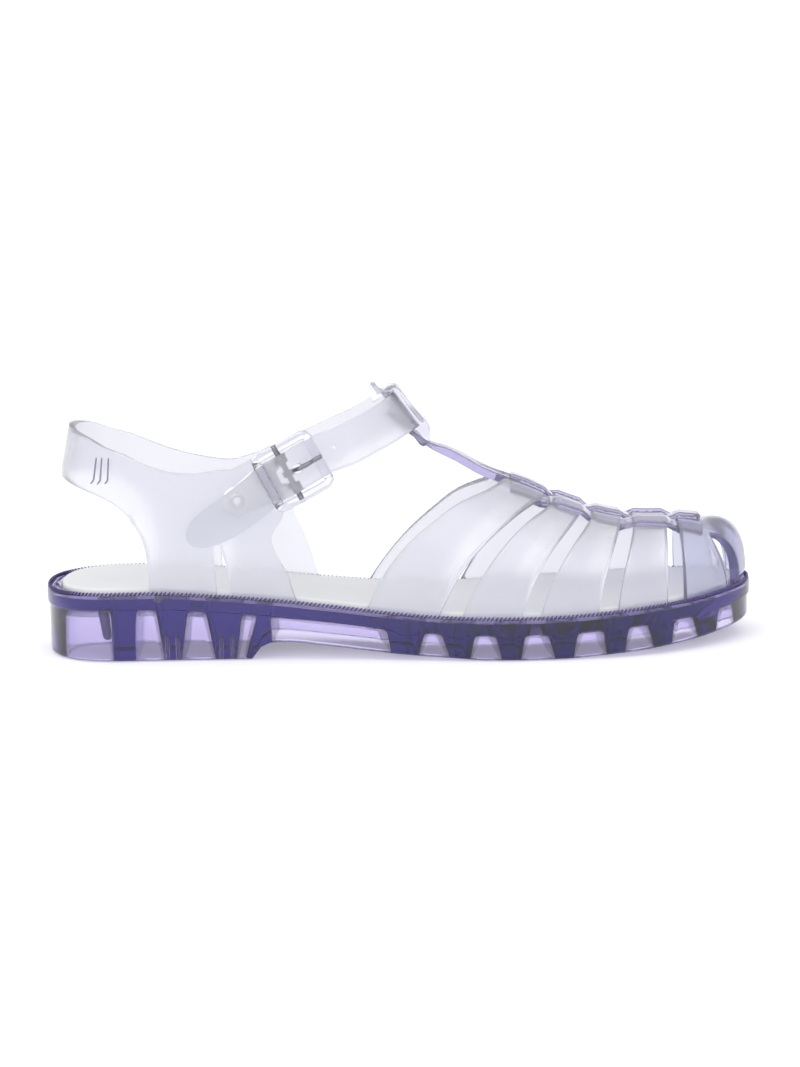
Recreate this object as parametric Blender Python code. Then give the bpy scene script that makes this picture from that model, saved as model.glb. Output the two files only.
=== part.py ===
"""Right-foot jelly sandal of clear moulded PVC, with a buckled ankle strap.

Frame: metres, +Z up, +X towards the toe, -Y the outer (lateral) side, the floor at z = 0. Sizes below are in
millimetres. Every curved piece is worked out from the last: a rim line that follows the outline of the sole, and a
ridge line along the top of the foot.
"""
import math
from collections import namedtuple

import bmesh
import bpy
from mathutils import Vector

METRE = 0.001

# Driving sizes of the sole
LENGTH = 256.6
BALL_WIDTH = 91.0
HEEL_HEIGHT = 24.2
LIP_WIDTH = 2.6
LIP_RISE = 1.6
PLATE = 3.8
SKIN = 2.3
SIDE_STEP = 0.8
BAND = 5.2
FOOT_CHAMFER = 0.7
CLEARANCE = 0.3

# Driving sizes of the upper
INSTEP_HEIGHT = 93.0
WALL = 2.0
RIM_WALL = 2.4
INSOLE_THICK = 3.4
HEEL_STRAP_BACK = 119.7
HEEL_TOP = 83.0
ANKLE_WIDTH = 57.0
FLARE_HEIGHT = 28.0
HEEL_LEAN = 3.3
HEEL_TUCK = 1.5
ANKLE_TAPER = 2.0
STRIP_WIDTH = 9.0
STRIP_PITCH = 11.5
STRIP_WALL = 1.8
TSTRAP_WIDTH = 13.0
ANKLE_STRAP_WIDTH = 15.0
LOOSE_LENGTH = 43.2
TSTRAP_WALL = 3.0
TSTRAP_SINK = 0.4
LOOP_WIDTH = 14.2
LOOP_REAR = 9.4
LOOP_FRONT = 13.2
LOOP_SINK = 1.8
LOOP_BRIDGE = 1.9
LOOP_CLEARANCE = 0.45

# Driving sizes of the buckle
BUCKLE_LENGTH = 23.5
BUCKLE_WIDTH = 23.0
BUCKLE_RAIL = 3.1
BUCKLE_BAR = 3.4
BUCKLE_SHIFT = 2.0
BUCKLE_CORNER = 3.4
BUCKLE_THICK = 2.6
PIN_RADIUS = 1.0
KNUCKLE_RADIUS = 1.8
KNUCKLE_LENGTH = 3.4
PLATE_METAL = 0.8
PLATE_END_RADIUS = 5.2
RIVET_HEAD = 2.7
RIVET_SHANK = 1.9
RIVET_BORE = 1.4
RIVET_REACH = 20.9
RIVET_HEAD_RISE = 0.6
FRONT_LIFT = 1.0
FRAME_REST = 1.2
FRAME_TOP = 2.4
PIN_END_WALL = 0.8
KNUCKLE_APART = 4.0
PLATE_WAIST = 2.2
PLATE_SLOT = 3.5
PLATE_SHOULDER = 9.5
PLATE_EAR_STEP = 0.15
RIVET_BEVEL = 0.5
STRAP_EASE = 0.2
STRAP_LANDING = 7.0
PRONG_RISE = 1.2
CUT_SPARE = 3.0
PRONG_RADIUS = 0.65
HOLE_RADIUS = 1.3
HOLE_COUNT = 3
FIRST_HOLE = 3.8
HOLE_PITCH = 6.9

OUTLINE_STEPS = 26
ROWS = 7

# Where each level of the sole lies: shares of LENGTH from the heel, of BALL_WIDTH and of HEEL_HEIGHT
Sole = namedtuple("Sole", "along centre half rim under")
SOLE = (
    Sole(0.000, -0.0015, 0.352, 0.985, 0.000),
    Sole(0.150, -0.0045, 0.352, 1.000, 0.000),
    Sole(0.240, -0.0135, 0.346, 0.945, 0.000),
    Sole(0.292, -0.0215, 0.340, 0.900, 0.000),
    Sole(0.312, -0.0255, 0.337, 0.880, 0.236),
    Sole(0.340, -0.0315, 0.335, 0.850, 0.247),
    Sole(0.400, -0.0435, 0.342, 0.780, 0.187),
    Sole(0.500, -0.0475, 0.388, 0.668, 0.077),
    Sole(0.570, -0.0365, 0.434, 0.620, 0.030),
    Sole(0.625, -0.0265, 0.472, 0.609, 0.000),
    Sole(0.690, -0.0075, 0.500, 0.609, 0.000),
    Sole(0.730, 0.0035, 0.503, 0.617, 0.004),
    Sole(0.790, 0.0125, 0.487, 0.648, 0.035),
    Sole(0.850, 0.0245, 0.458, 0.690, 0.080),
    Sole(0.920, 0.0465, 0.418, 0.740, 0.150),
    Sole(1.000, 0.0615, 0.370, 0.845, 0.275),
)
BREAST = (0.292, 0.312)
HEEL_ROUND = 0.108
TOE_ROUND = 0.175
HEEL_ROUND_POWER = 2.25
TOE_ROUND_POWER = 2.15

# Cross ribs of the sole: the windows between them, as shares of LENGTH at the plate and at the floor
Window = namedtuple("Window", "rear_top front_top rear_foot front_foot")
WINDOWS = (
    Window(0.030, 0.088, 0.030, 0.088),
    Window(0.132, 0.152, 0.126, 0.160),
    Window(0.206, 0.222, 0.192, 0.230),
    Window(0.266, 0.284, 0.256, 0.276),
    Window(0.318, 0.478, 0.320, 0.488),
    Window(0.526, 0.558, 0.516, 0.566),
    Window(0.600, 0.632, 0.590, 0.640),
    Window(0.672, 0.704, 0.662, 0.712),
    Window(0.743, 0.775, 0.733, 0.783),
    Window(0.813, 0.845, 0.803, 0.853),
    Window(0.880, 0.908, 0.871, 0.915),
    Window(0.940, 0.966, 0.932, 0.968),
)

# Top of the foot: shares of LENGTH, of INSTEP_HEIGHT and of BALL_WIDTH, and the fullness of the section
Ridge = namedtuple("Ridge", "along height side fullness")
RIDGE = (
    Ridge(0.440, 1.075, 0.0265, 1.95),
    Ridge(0.501, 0.882, 0.0365, 1.95),
    Ridge(0.550, 0.773, 0.0415, 1.95),
    Ridge(0.583, 0.722, 0.0445, 2.00),
    Ridge(0.620, 0.660, 0.0485, 2.05),
    Ridge(0.648, 0.626, 0.0505, 2.10),
    Ridge(0.680, 0.592, 0.0525, 2.15),
    Ridge(0.707, 0.556, 0.0545, 2.20),
    Ridge(0.735, 0.522, 0.0565, 2.20),
    Ridge(0.773, 0.484, 0.0605, 2.25),
    Ridge(0.813, 0.457, 0.0645, 2.30),
    Ridge(0.852, 0.446, 0.0665, 2.35),
    Ridge(0.891, 0.444, 0.0665, 2.50),
    Ridge(0.935, 0.432, 0.0645, 2.70),
)
FAN_START = 0.935
OVERHANG = 0.05

# Vamp straps: their edges at the rim and at the ridge, as shares of LENGTH
Strap = namedtuple("Strap", "rear_rim front_rim rear_top front_top")
STRAPS = (
    Strap(0.453, 0.554, 0.652, 0.707),
    Strap(0.586, 0.669, 0.722, 0.760),
    Strap(0.695, 0.775, 0.776, 0.816),
    Strap(0.803, 0.872, 0.834, 0.880),
    Strap(0.898, 0.958, 0.896, 0.933),
)
LATERAL_BOW = 0.45
MEDIAL_BOW = 0.15
TOE_SLOT_FRONT = 0.966
TOE_SLOT_TOP = 0.62

# Quarter, seen from the side: x as a share of LENGTH and height as a share of HEEL_TOP, row by row from the rim
Row = namedtuple("Row", "rear_x rear_z slot_rear_x slot_front_x slot_z front_x front_z medial_x medial_z")
QUARTER = (
    Row(0.152, 0.240, 0.246, 0.269, 0.240, 0.364, 0.225, 0.393, 0.222),
    Row(0.150, 0.380, 0.244, 0.262, 0.370, 0.346, 0.360, 0.375, 0.355),
    Row(0.147, 0.475, 0.242, 0.254, 0.463, 0.329, 0.458, 0.361, 0.462),
    Row(0.141, 0.545, 0.244, 0.251, 0.500, 0.323, 0.523, 0.350, 0.535),
    Row(0.126, 0.630, 0.246, 0.254, 0.590, 0.341, 0.630, 0.352, 0.615),
    Row(0.124, 0.720, 0.248, 0.258, 0.670, 0.328, 0.695, 0.339, 0.690),
    Row(0.122, 0.810, 0.250, 0.262, 0.735, 0.315, 0.775, 0.323, 0.770),
    Row(0.120, 0.900, 0.252, 0.268, 0.805, 0.297, 0.868, 0.303, 0.845),
)
CORNER_ROW = 4
SLOT_ROWS = 3
HEEL_NOSE = 1.15
HEEL_POWER = 2.3

# Heel strap from the quarter to the back of the heel: shares of HEEL_TOP, against the turn round the heel
HeelStrap = namedtuple("HeelStrap", "turn low high")
HEEL_STRAP = (
    HeelStrap(0.00, 0.630, 0.900),
    HeelStrap(0.17, 0.693, 0.922),
    HeelStrap(0.43, 0.737, 0.962),
    HeelStrap(0.75, 0.768, 0.986),
    HeelStrap(1.00, 0.780, 0.994),
)

# Ankle strap: the height of its middle line against x, as shares of INSTEP_HEIGHT and LENGTH
StrapLine = namedtuple("StrapLine", "along height")
STRAP_LINE = (
    StrapLine(0.207, 0.494),
    StrapLine(0.279, 0.609),
    StrapLine(0.350, 0.716),
    StrapLine(0.430, 0.820),
    StrapLine(0.508, 0.911),
)
TEE_TOP = 0.468
TeeWall = namedtuple("TeeWall", "along wall")
TEE_WALLS = (TeeWall(0.468, 0.45), TeeWall(0.545, 0.62), TeeWall(0.570, 1.0), TeeWall(0.680, 1.0))
STRAP_TURN_START = 0.385
PIN_ALONG = 0.349
PIN_HEIGHT = 0.722
BUCKLE_TILT = math.radians(27.5)
PLATE_END_START = math.radians(70)
PLATE_END_STEPS = 8
LOOP_TILT = math.radians(54.5)


def blend(table, column, at):
    """Read a column of a table at a share of the length, on a smooth curve that never overshoots its rows."""
    keys = [row[0] for row in table]
    values = [getattr(row, column) for row in table]
    if at <= keys[0]:
        return values[0]
    if at >= keys[-1]:
        return values[-1]
    index = max(i for i in range(len(keys) - 1) if keys[i] <= at)
    slopes = [(values[i + 1] - values[i]) / (keys[i + 1] - keys[i]) for i in range(len(keys) - 1)]

    def tangent(i):
        if i in (0, len(keys) - 1):
            return slopes[min(i, len(slopes) - 1)]
        before, after = slopes[i - 1], slopes[i]
        return 0.0 if before * after <= 0 else 2.0 * before * after / (before + after)

    span = keys[index + 1] - keys[index]
    u = (at - keys[index]) / span
    start = values[index] * (1 + 2 * u) * (1 - u) ** 2 + span * tangent(index) * u * (1 - u) ** 2
    return start + values[index + 1] * u * u * (3 - 2 * u) + span * tangent(index + 1) * u * u * (u - 1)


def x_of(along):
    """Turn a share of the length, from the heel, into x."""
    return (along - 0.5) * LENGTH


def along_of(x):
    """Turn x into a share of the length, kept on the shoe."""
    return min(max(x / LENGTH + 0.5, 0.0), 1.0)


def end_round(along):
    """How much of the table's width is left near the round heel and toe."""
    if along < HEEL_ROUND:
        return max(1 - (1 - along / HEEL_ROUND) ** HEEL_ROUND_POWER, 0.0) ** (1 / HEEL_ROUND_POWER)
    if along > 1 - TOE_ROUND:
        return max(1 - (1 - (1 - along) / TOE_ROUND) ** TOE_ROUND_POWER, 0.0) ** (1 / TOE_ROUND_POWER)
    return 1.0


def rim_height(x):
    """Height of the sole's rim."""
    return HEEL_HEIGHT * blend(SOLE, "rim", along_of(x))


def floor_height(x):
    """Height of the sole's underside."""
    return HEEL_HEIGHT * blend(SOLE, "under", along_of(x))


def plate_height(x):
    """Height of the plate inside the lip, where the upper and the insole lie."""
    return rim_height(x) - LIP_RISE


def edge_y(x, side):
    """Y of the sole's outline, with side -1 for lateral and +1 for medial."""
    along = along_of(x)
    return BALL_WIDTH * (blend(SOLE, "centre", along) + side * blend(SOLE, "half", along) * end_round(along))


def stations():
    """Shares of the length, close together at the round ends and with the heel's breast among them."""
    steps = OUTLINE_STEPS - len(BREAST)
    even = [0.5 - 0.5 * math.cos(math.pi * i / steps) for i in range(steps + 1)]
    return sorted(even + list(BREAST))


def outline(inset):
    """Points (x, y) round the outline, moved in by an inset: lateral side to the toe, and back on the medial side."""
    shares = stations()
    loop = [Vector((x_of(s), edge_y(x_of(s), -1))) for s in shares]
    loop += [Vector((x_of(s), edge_y(x_of(s), 1))) for s in reversed(shares[1:-1])]
    count = len(loop)
    moved = []
    for i, point in enumerate(loop):
        run = (loop[(i + 1) % count] - loop[i - 1]).normalized()
        moved.append(point + Vector((-run.y, run.x)) * inset)
    return moved


def inset_y(x, side, inset):
    """Y of the outline moved in by an inset, read between its points."""
    loop = outline(inset)
    half = OUTLINE_STEPS + 1
    line = loop[:half] if side < 0 else [loop[0]] + loop[half:][::-1] + [loop[half - 1]]
    if x <= line[0].x:
        return line[0].y
    for before, after in zip(line, line[1:]):
        if before.x <= x <= after.x:
            u = (x - before.x) / max(after.x - before.x, 1e-9)
            return before.y + (after.y - before.y) * u
    return line[-1].y


def material(name, colour, roughness, metallic=0.0, clear=0.0):
    """A Principled material from an sRGB-like colour in linear values."""
    made = bpy.data.materials.new(name)
    made.use_nodes = True
    shader = made.node_tree.nodes["Principled BSDF"]
    shader.inputs["Base Color"].default_value = (*colour, 1.0)
    shader.inputs["Roughness"].default_value = roughness
    shader.inputs["Metallic"].default_value = metallic
    shader.inputs["Transmission Weight"].default_value = clear
    made.diffuse_color = (*colour, 1.0 - 0.5 * clear)
    return made


def place(name, bm, finish):
    """Turn a mesh in millimetres into an object in metres."""
    bmesh.ops.scale(bm, vec=(METRE,) * 3, verts=bm.verts)
    mesh = bpy.data.meshes.new(name)
    bm.to_mesh(mesh)
    bm.free()
    made = bpy.data.objects.new(name, mesh)
    bpy.context.scene.collection.objects.link(made)
    if finish:
        mesh.materials.append(finish)
    mesh.shade_smooth()
    mesh.set_sharp_from_angle(angle=math.radians(35))
    return made


def helper(made):
    """Mark an object as a cutter or a piece that another object takes in."""
    made.hide_render = True
    made.display_type = "WIRE"
    return made


def combine(target, tool, operation):
    """Add a tool to an object or cut it away."""
    step = target.modifiers.new(tool.name, "BOOLEAN")
    step.operation = operation
    step.object = helper(tool)
    step.solver = "EXACT"


def bridge_rings(bm, rings):
    """Join rings of points one after the other, and return their vertices."""
    loops = [[bm.verts.new(point) for point in ring] for ring in rings]
    for before, after in zip(loops, loops[1:]):
        count = len(before)
        for i in range(count):
            j = (i + 1) % count
            bm.faces.new((before[i], before[j], after[j], after[i]))
    return loops


def loft(rings):
    """A closed solid through rings of points, with flat ends."""
    bm = bmesh.new()
    loops = bridge_rings(bm, rings)
    bm.faces.new(loops[0][::-1])
    bm.faces.new(loops[-1])
    bmesh.ops.recalc_face_normals(bm, faces=bm.faces)
    return bm


def cap_across(bm, loop):
    """Close a ring of outline points with strips from side to side."""
    count = len(loop)
    for i in range(OUTLINE_STEPS):
        lateral, lateral_next = loop[i], loop[i + 1]
        medial, medial_next = loop[-i % count], loop[-(i + 1) % count]
        corners = []
        for corner in (lateral, lateral_next, medial_next, medial):
            if corner not in corners:
                corners.append(corner)
        bm.faces.new(corners)


def ringed_slab(levels):
    """A closed slab from levels of (inset, height function), bottom to top."""
    bm = bmesh.new()
    rings = [[(p.x, p.y, height(p.x)) for p in outline(inset)] for inset, height in levels]
    loops = bridge_rings(bm, rings)
    cap_across(bm, loops[0])
    cap_across(bm, loops[-1])
    bmesh.ops.recalc_face_normals(bm, faces=bm.faces)
    return bm


def window_cutter(index, window):
    """The hollow between two cross ribs, open to the floor."""
    def ring(rear, front, height):
        shares = [rear + (front - rear) * k / 4 for k in range(5)]
        sides = [(x_of(s), inset_y(x_of(s), -1, SKIN + SIDE_STEP)) for s in shares]
        sides += [(x_of(s), inset_y(x_of(s), 1, SKIN + SIDE_STEP)) for s in reversed(shares)]
        return [(x, y, height(x)) for x, y in sides]

    roof = ring(window.rear_top, window.front_top, lambda x: plate_height(x) - PLATE)
    foot = ring(window.rear_foot, window.front_foot, lambda x: floor_height(x) - CUT_SPARE)
    return place(f"window_{index}", loft([foot, roof]), None)


def build_outsole(finish):
    """Sole with its lip, stepped side, skin and cross ribs."""
    levels = (
        (SIDE_STEP + FOOT_CHAMFER, floor_height),
        (SIDE_STEP, lambda x: floor_height(x) + FOOT_CHAMFER),
        (SIDE_STEP, lambda x: rim_height(x) - BAND - SIDE_STEP),
        (0.0, lambda x: rim_height(x) - BAND),
        (0.0, lambda x: rim_height(x) - FOOT_CHAMFER),
        (FOOT_CHAMFER, rim_height),
        (LIP_WIDTH, rim_height),
        (LIP_WIDTH, plate_height),
    )
    sole = place("outsole", ringed_slab(levels), finish)
    for index, window in enumerate(WINDOWS):
        combine(sole, window_cutter(index, window), "DIFFERENCE")
    return sole


RIM_INSET = LIP_WIDTH + CLEARANCE
LAST_INSET = RIM_INSET + WALL + (RIM_WALL - WALL) / 2


def build_insole(finish):
    """Cushioned insole inside the upper's rim."""
    inset = RIM_INSET + RIM_WALL + CLEARANCE
    levels = (
        (inset, lambda x: plate_height(x) + CLEARANCE),
        (inset, lambda x: plate_height(x) + INSOLE_THICK - FOOT_CHAMFER),
        (inset + FOOT_CHAMFER, lambda x: plate_height(x) + INSOLE_THICK),
    )
    return place("insole", ringed_slab(levels), finish)


def last_point(along, rise, side):
    """A point of the last: along the shoe, risen from the rim (0) to the ridge (1) on one side."""
    x_rim = x_of(along)
    x_top = x_of(min(along, FAN_START))
    top_share = along_of(x_top)
    fullness = blend(RIDGE, "fullness", top_share)
    angle = rise * math.pi / 2
    out = math.cos(angle) ** (2 / fullness) * (1 + OVERHANG * math.sin(2 * angle) ** 2) if rise < 1 else 0.0
    up = math.sin(angle) ** (2 / fullness)
    y_rim = inset_y(x_rim, side, LAST_INSET)
    y_top = BALL_WIDTH * blend(RIDGE, "side", top_share)
    low = plate_height(x_rim) + 2 * CLEARANCE
    high = INSTEP_HEIGHT * blend(RIDGE, "height", top_share)
    return Vector((x_top + (x_rim - x_top) * out, y_top + (y_rim - y_top) * out, low + (high - low) * up))


def last_normal(along, rise, side):
    """The outward direction of the last at a point."""
    step = 0.004
    here = last_point(along, rise, side)
    ahead = last_point(along + step, rise, side) - last_point(along - step, rise, side)
    low, high = max(rise - step, 0.0), min(rise + step, 1.0)
    above = last_point(along, high, side) - last_point(along, low, side)
    out = ahead.cross(above) * side * -1
    if rise >= 1 or out.length < 1e-9:
        above = Vector((0, 1, 0))
        out = ahead.cross(above) * -1
    inner = Vector((here.x, BALL_WIDTH * blend(RIDGE, "side", along), rim_height(here.x)))
    if out.dot(here - inner) < 0:
        out = -out
    return out.normalized()


def strap_edge(foot, top, rise, side):
    """Share of the length at which a strap's edge lies, straighter on the medial side."""
    bow = LATERAL_BOW if side < 0 else MEDIAL_BOW
    up = math.sin(rise * math.pi / 2)
    return foot + (top - foot) * ((1 - bow) * up + bow * up * up)


def thicken(made):
    """Give a web its wall, outwards from the last."""
    step = made.modifiers.new("wall", "SOLIDIFY")
    step.thickness = WALL * METRE
    step.offset = 1.0
    step.use_even_offset = True


def face_out(bm, inner):
    """Point the faces of a web away from an inner point."""
    bmesh.ops.remove_doubles(bm, verts=bm.verts, dist=0.02)
    bmesh.ops.recalc_face_normals(bm, faces=bm.faces)
    if sum(f.normal.dot(f.calc_center_median() - inner) * f.calc_area() for f in bm.faces) < 0:
        bmesh.ops.reverse_faces(bm, faces=bm.faces)


def build_vamp():
    """The five vamp straps and the toe band as one web on the last."""
    bm = bmesh.new()
    across = 3
    rises = [j / ROWS for j in range(ROWS + 1)]
    sides = [(-1, rise) for rise in rises] + [(1, rise) for rise in rises[-2::-1]]

    def patch(edges, start=0.0):
        grid = []
        for side, rise in sides:
            rear, front = edges(rise, side)
            line = [rear + (front - rear) * k / across for k in range(across + 1)]
            grid.append([bm.verts.new(last_point(s, rise, side)) for s in line])
        for (row, after), place_in in zip(zip(grid, grid[1:]), zip(sides, sides[1:])):
            if min(place_in[0][1], place_in[1][1]) < start:
                continue
            for k in range(across):
                bm.faces.new((row[k], row[k + 1], after[k + 1], after[k]))

    for strap in STRAPS:
        patch(lambda rise, side, s=strap: (strap_edge(s.rear_rim, s.rear_top, rise, side),
                                           strap_edge(s.front_rim, s.front_top, rise, side)))
    last = STRAPS[-1]
    slot_rows = max(rise for rise in rises if rise <= TOE_SLOT_TOP)
    patch(lambda rise, side: (strap_edge(last.front_rim, last.front_top, rise, side),
                              strap_edge(TOE_SLOT_FRONT, FAN_START + 0.001, rise, side)), start=slot_rows)
    tip = along_of(LENGTH / 2 - LAST_INSET)
    patch(lambda rise, side: (strap_edge(TOE_SLOT_FRONT, FAN_START + 0.001, rise, side), tip))
    bmesh.ops.delete(bm, geom=[v for v in bm.verts if not v.link_faces], context="VERTS")
    middle = x_of((STRAPS[0].rear_rim + 1) / 2)
    face_out(bm, Vector((middle, 0, rim_height(middle))))
    bmesh.ops.dissolve_degenerate(bm, edges=bm.edges, dist=0.05)
    web = place("vamp_web", bm, None)
    thicken(web)
    return web


def heel_section(z):
    """Back x and half width of the heel's section at a height."""
    share = z / HEEL_TOP
    back = -HEEL_STRAP_BACK + HEEL_LEAN * max(share - 0.8, 0.0) / 0.2 + HEEL_TUCK * max(0.75 - share, 0.0)
    half = ANKLE_WIDTH / 2 - ANKLE_TAPER * max(share - 0.3, 0.0) / 0.7
    return back, half


def heel_side(x, z, side):
    """A point on the side of the heel from its x and height: the ankle's width above, the rim's width at the foot."""
    back, half = heel_section(z)
    reach = min((x - back) / (half * HEEL_NOSE), 1.0)
    out = max(1 - (1 - reach) ** HEEL_POWER, 0.0) ** (1 / HEEL_POWER)
    ankle = BALL_WIDTH * blend(SOLE, "centre", 0.0) + side * half * out
    risen = min(max((z - plate_height(x)) / FLARE_HEIGHT, 0.0), 1.0)
    share = risen * risen * (3 - 2 * risen)
    foot = inset_y(x, side, LAST_INSET)
    return Vector((x, foot + (ankle - foot) * share, z))


def quarter_point(row, key, side):
    """A point of the quarter's key columns: rear edge, the slot's two edges and the front edge."""
    front = ("front_x", "front_z") if side < 0 else ("medial_x", "medial_z")
    names = (("rear_x", "rear_z"), ("slot_rear_x", "slot_z"), ("slot_front_x", "slot_z"), front)[key]
    x, z = x_of(getattr(row, names[0])), HEEL_TOP * getattr(row, names[1])
    if row is QUARTER[0]:
        z = plate_height(x) + 2 * CLEARANCE
    return heel_side(x, z, side)


def strap_height(x):
    """Height of the ankle strap's middle line."""
    return INSTEP_HEIGHT * blend(STRAP_LINE, "height", along_of(x))


Buckle = namedtuple("Buckle", "origin along across out")


def buckle_place():
    """The pin's place on the lateral quarter, with directions along the strap, across it and outwards."""
    origin = heel_side(x_of(PIN_ALONG), INSTEP_HEIGHT * PIN_HEIGHT, -1)
    above = heel_side(origin.x, origin.z + 1.0, -1)
    lean = (above - origin).normalized()
    along = (Vector((1, 0, 0)) * math.cos(BUCKLE_TILT) + lean * math.sin(BUCKLE_TILT)).normalized()
    out = along.cross(lean)
    out = (out if out.y < 0 else -out).normalized()
    across = out.cross(along).normalized()
    return Buckle(origin, along, across if across.z > 0 else -across, out)


def at_buckle(a, p, n):
    """A point in the buckle's own directions."""
    frame = buckle_place()
    return frame.origin + frame.along * a + frame.across * p + frame.out * n


# Ankle strap on the buckle: shares of LOOSE_LENGTH from the pin (minus towards the tip), and its middle line and
# half width as shares of ANKLE_STRAP_WIDTH
LooseEnd = namedtuple("LooseEnd", "along middle half")
LOOSE_END = (
    LooseEnd(-1.000, -0.270, 0.06),
    LooseEnd(-0.981, -0.272, 0.20),
    LooseEnd(-0.931, -0.275, 0.32),
    LooseEnd(-0.833, -0.268, 0.40),
    LooseEnd(-0.694, -0.255, 0.46),
    LooseEnd(-0.509, -0.200, 0.49),
    LooseEnd(-0.289, -0.095, 0.50),
    LooseEnd(-0.185, -0.015, 0.50),
    LooseEnd(0.000, 0.000, 0.50),
    LooseEnd(0.463, 0.000, 0.50),
)
STRAP_MARKS = (0.324, 0.266, 0.208, 0.150, 0.093, 0.046, 0.000, -0.046, -0.104, -0.162, -0.220, -0.301, -0.405,
               -0.498, -0.602, -0.694, -0.787, -0.868, -0.931, -0.963, -0.986, -1.000)
PIN_OUT = WALL + CLEARANCE + KNUCKLE_RADIUS + STRAP_EASE
StrapLift = namedtuple("StrapLift", "along lift")


def bar_centres():
    """Where the frame's two bars cross the strap, from the pin."""
    reach = BUCKLE_LENGTH / 2 - BUCKLE_BAR / 2
    return BUCKLE_SHIFT - reach, BUCKLE_SHIFT + reach


def lift_table():
    """How far the strap's inner face stands off the last, against the distance from the pin."""
    over_plate = WALL + 2 * CLEARANCE + PLATE_METAL
    rear_bar, front_bar = bar_centres()
    return (
        StrapLift(-LOOSE_LENGTH, WALL + CLEARANCE + STRAP_EASE),
        StrapLift(-RIVET_REACH - 2 * PLATE_END_RADIUS, WALL + 2 * CLEARANCE + STRAP_EASE),
        StrapLift(-RIVET_REACH, over_plate + RIVET_HEAD_RISE + CLEARANCE),
        StrapLift(rear_bar, over_plate + CLEARANCE),
        StrapLift(0.0, PIN_OUT + KNUCKLE_RADIUS + CLEARANCE),
        StrapLift(front_bar, FRONT_LIFT),
        StrapLift(front_bar + STRAP_LANDING, CLEARANCE),
    )


def strap_stations():
    """Middle point, width direction and half width of the ankle strap, from its medial start to its loose tip."""
    apex_x = x_of(STRAP_LINE[-1].along)
    turn_x = x_of(STRAP_TURN_START)
    apex = Vector((apex_x, BALL_WIDTH * blend(RIDGE, "side", STRAP_LINE[-1].along), strap_height(apex_x)))
    side_wide = Vector((math.sin(BUCKLE_TILT), 0, -math.cos(BUCKLE_TILT)))
    top_wide = Vector((math.cos(LOOP_TILT), 0, -math.sin(LOOP_TILT)))
    found = []

    def arch(side, turn):
        base = heel_side(turn_x, strap_height(turn_x), side)
        reach = math.sin(turn * math.pi / 2) ** (2 / HEEL_POWER)
        out = math.cos(turn * math.pi / 2) ** (2 / HEEL_POWER) if turn < 1 else 0.0
        x = base.x + (apex.x - base.x) * reach
        wide = side_wide.lerp(top_wide, reach).normalized()
        return Vector((x, apex.y + (base.y - apex.y) * out, strap_height(x))), wide

    for turn in (0.18, 0.34, 0.5, 0.64, 0.76, 0.86, 0.94, 1.0):
        found.append((*arch(1, turn), ANKLE_STRAP_WIDTH / 2))
    for turn in (0.94, 0.86, 0.76, 0.64, 0.5, 0.34, 0.18):
        found.append((*arch(-1, turn), ANKLE_STRAP_WIDTH / 2))
    frame = buckle_place()
    lifts = lift_table()
    for mark in STRAP_MARKS:
        droop = blend(LOOSE_END, "middle", mark) * ANKLE_STRAP_WIDTH
        reach = mark * LOOSE_LENGTH
        middle = at_buckle(reach, droop, blend(lifts, "lift", reach))
        half = blend(LOOSE_END, "half", mark) * ANKLE_STRAP_WIDTH
        found.append((middle, -frame.across, half))
    return found


def build_rear():
    """Heel strap, both quarters and the ankle strap as one web."""
    bm = bmesh.new()
    columns = (5, 1, 5)
    edges = {}
    for side in (-1, 1):
        grid = []
        for row in QUARTER:
            keys = [quarter_point(row, key, side) for key in range(4)]
            line = [keys[0]]
            for key, count in enumerate(columns):
                line += [keys[key].lerp(keys[key + 1], (k + 1) / count) for k in range(count)]
            line = [heel_side(p.x, p.z, side) for p in line]
            grid.append([bm.verts.new(p) for p in line])
        for j, (row, after) in enumerate(zip(grid, grid[1:])):
            for k in range(len(row) - 1):
                if k == columns[0] and j < SLOT_ROWS:
                    continue
                bm.faces.new((row[k], row[k + 1], after[k + 1], after[k]))
        edges[side] = ([row[0] for row in grid[CORNER_ROW:]], [row[-1] for row in grid[CORNER_ROW:]])
    rows = len(QUARTER) - CORNER_ROW
    steps = 8
    previous = edges[-1][0]
    start_x = x_of(QUARTER[CORNER_ROW].rear_x)
    for i in range(1, 2 * steps):
        side = -1 if i < steps else 1
        turn = (i if i <= steps else 2 * steps - i) / steps
        low, high = (HEEL_TOP * blend(HEEL_STRAP, name, turn) for name in ("low", "high"))
        line = []
        for j in range(rows):
            z = low + (high - low) * j / (rows - 1)
            back, half = heel_section(z)
            reach = 1 - math.sin(turn * math.pi / 2) if turn < 1 else 0.0
            x = back + (start_x - back) * reach
            line.append(bm.verts.new(heel_side(x, z, side)))
        for j in range(rows - 1):
            bm.faces.new((previous[j], line[j], line[j + 1], previous[j + 1]))
        previous = line
    for j in range(rows - 1):
        bm.faces.new((previous[j], edges[1][0][j], edges[1][0][j + 1], previous[j + 1]))
    previous = edges[1][1]
    for middle, wide, half in strap_stations():
        line = [bm.verts.new(middle + wide * half * (1 - 2 * j / (rows - 1))) for j in range(rows)]
        for j in range(rows - 1):
            bm.faces.new((previous[j], line[j], line[j + 1], previous[j + 1]))
        previous = line
    bmesh.ops.recalc_face_normals(bm, faces=bm.faces)
    heel = max(bm.faces, key=lambda f: -f.calc_center_median().x)
    if heel.normal.x > 0:
        bmesh.ops.reverse_faces(bm, faces=bm.faces)
    web = place("rear_web", bm, None)
    thicken(web)
    return web


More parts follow.
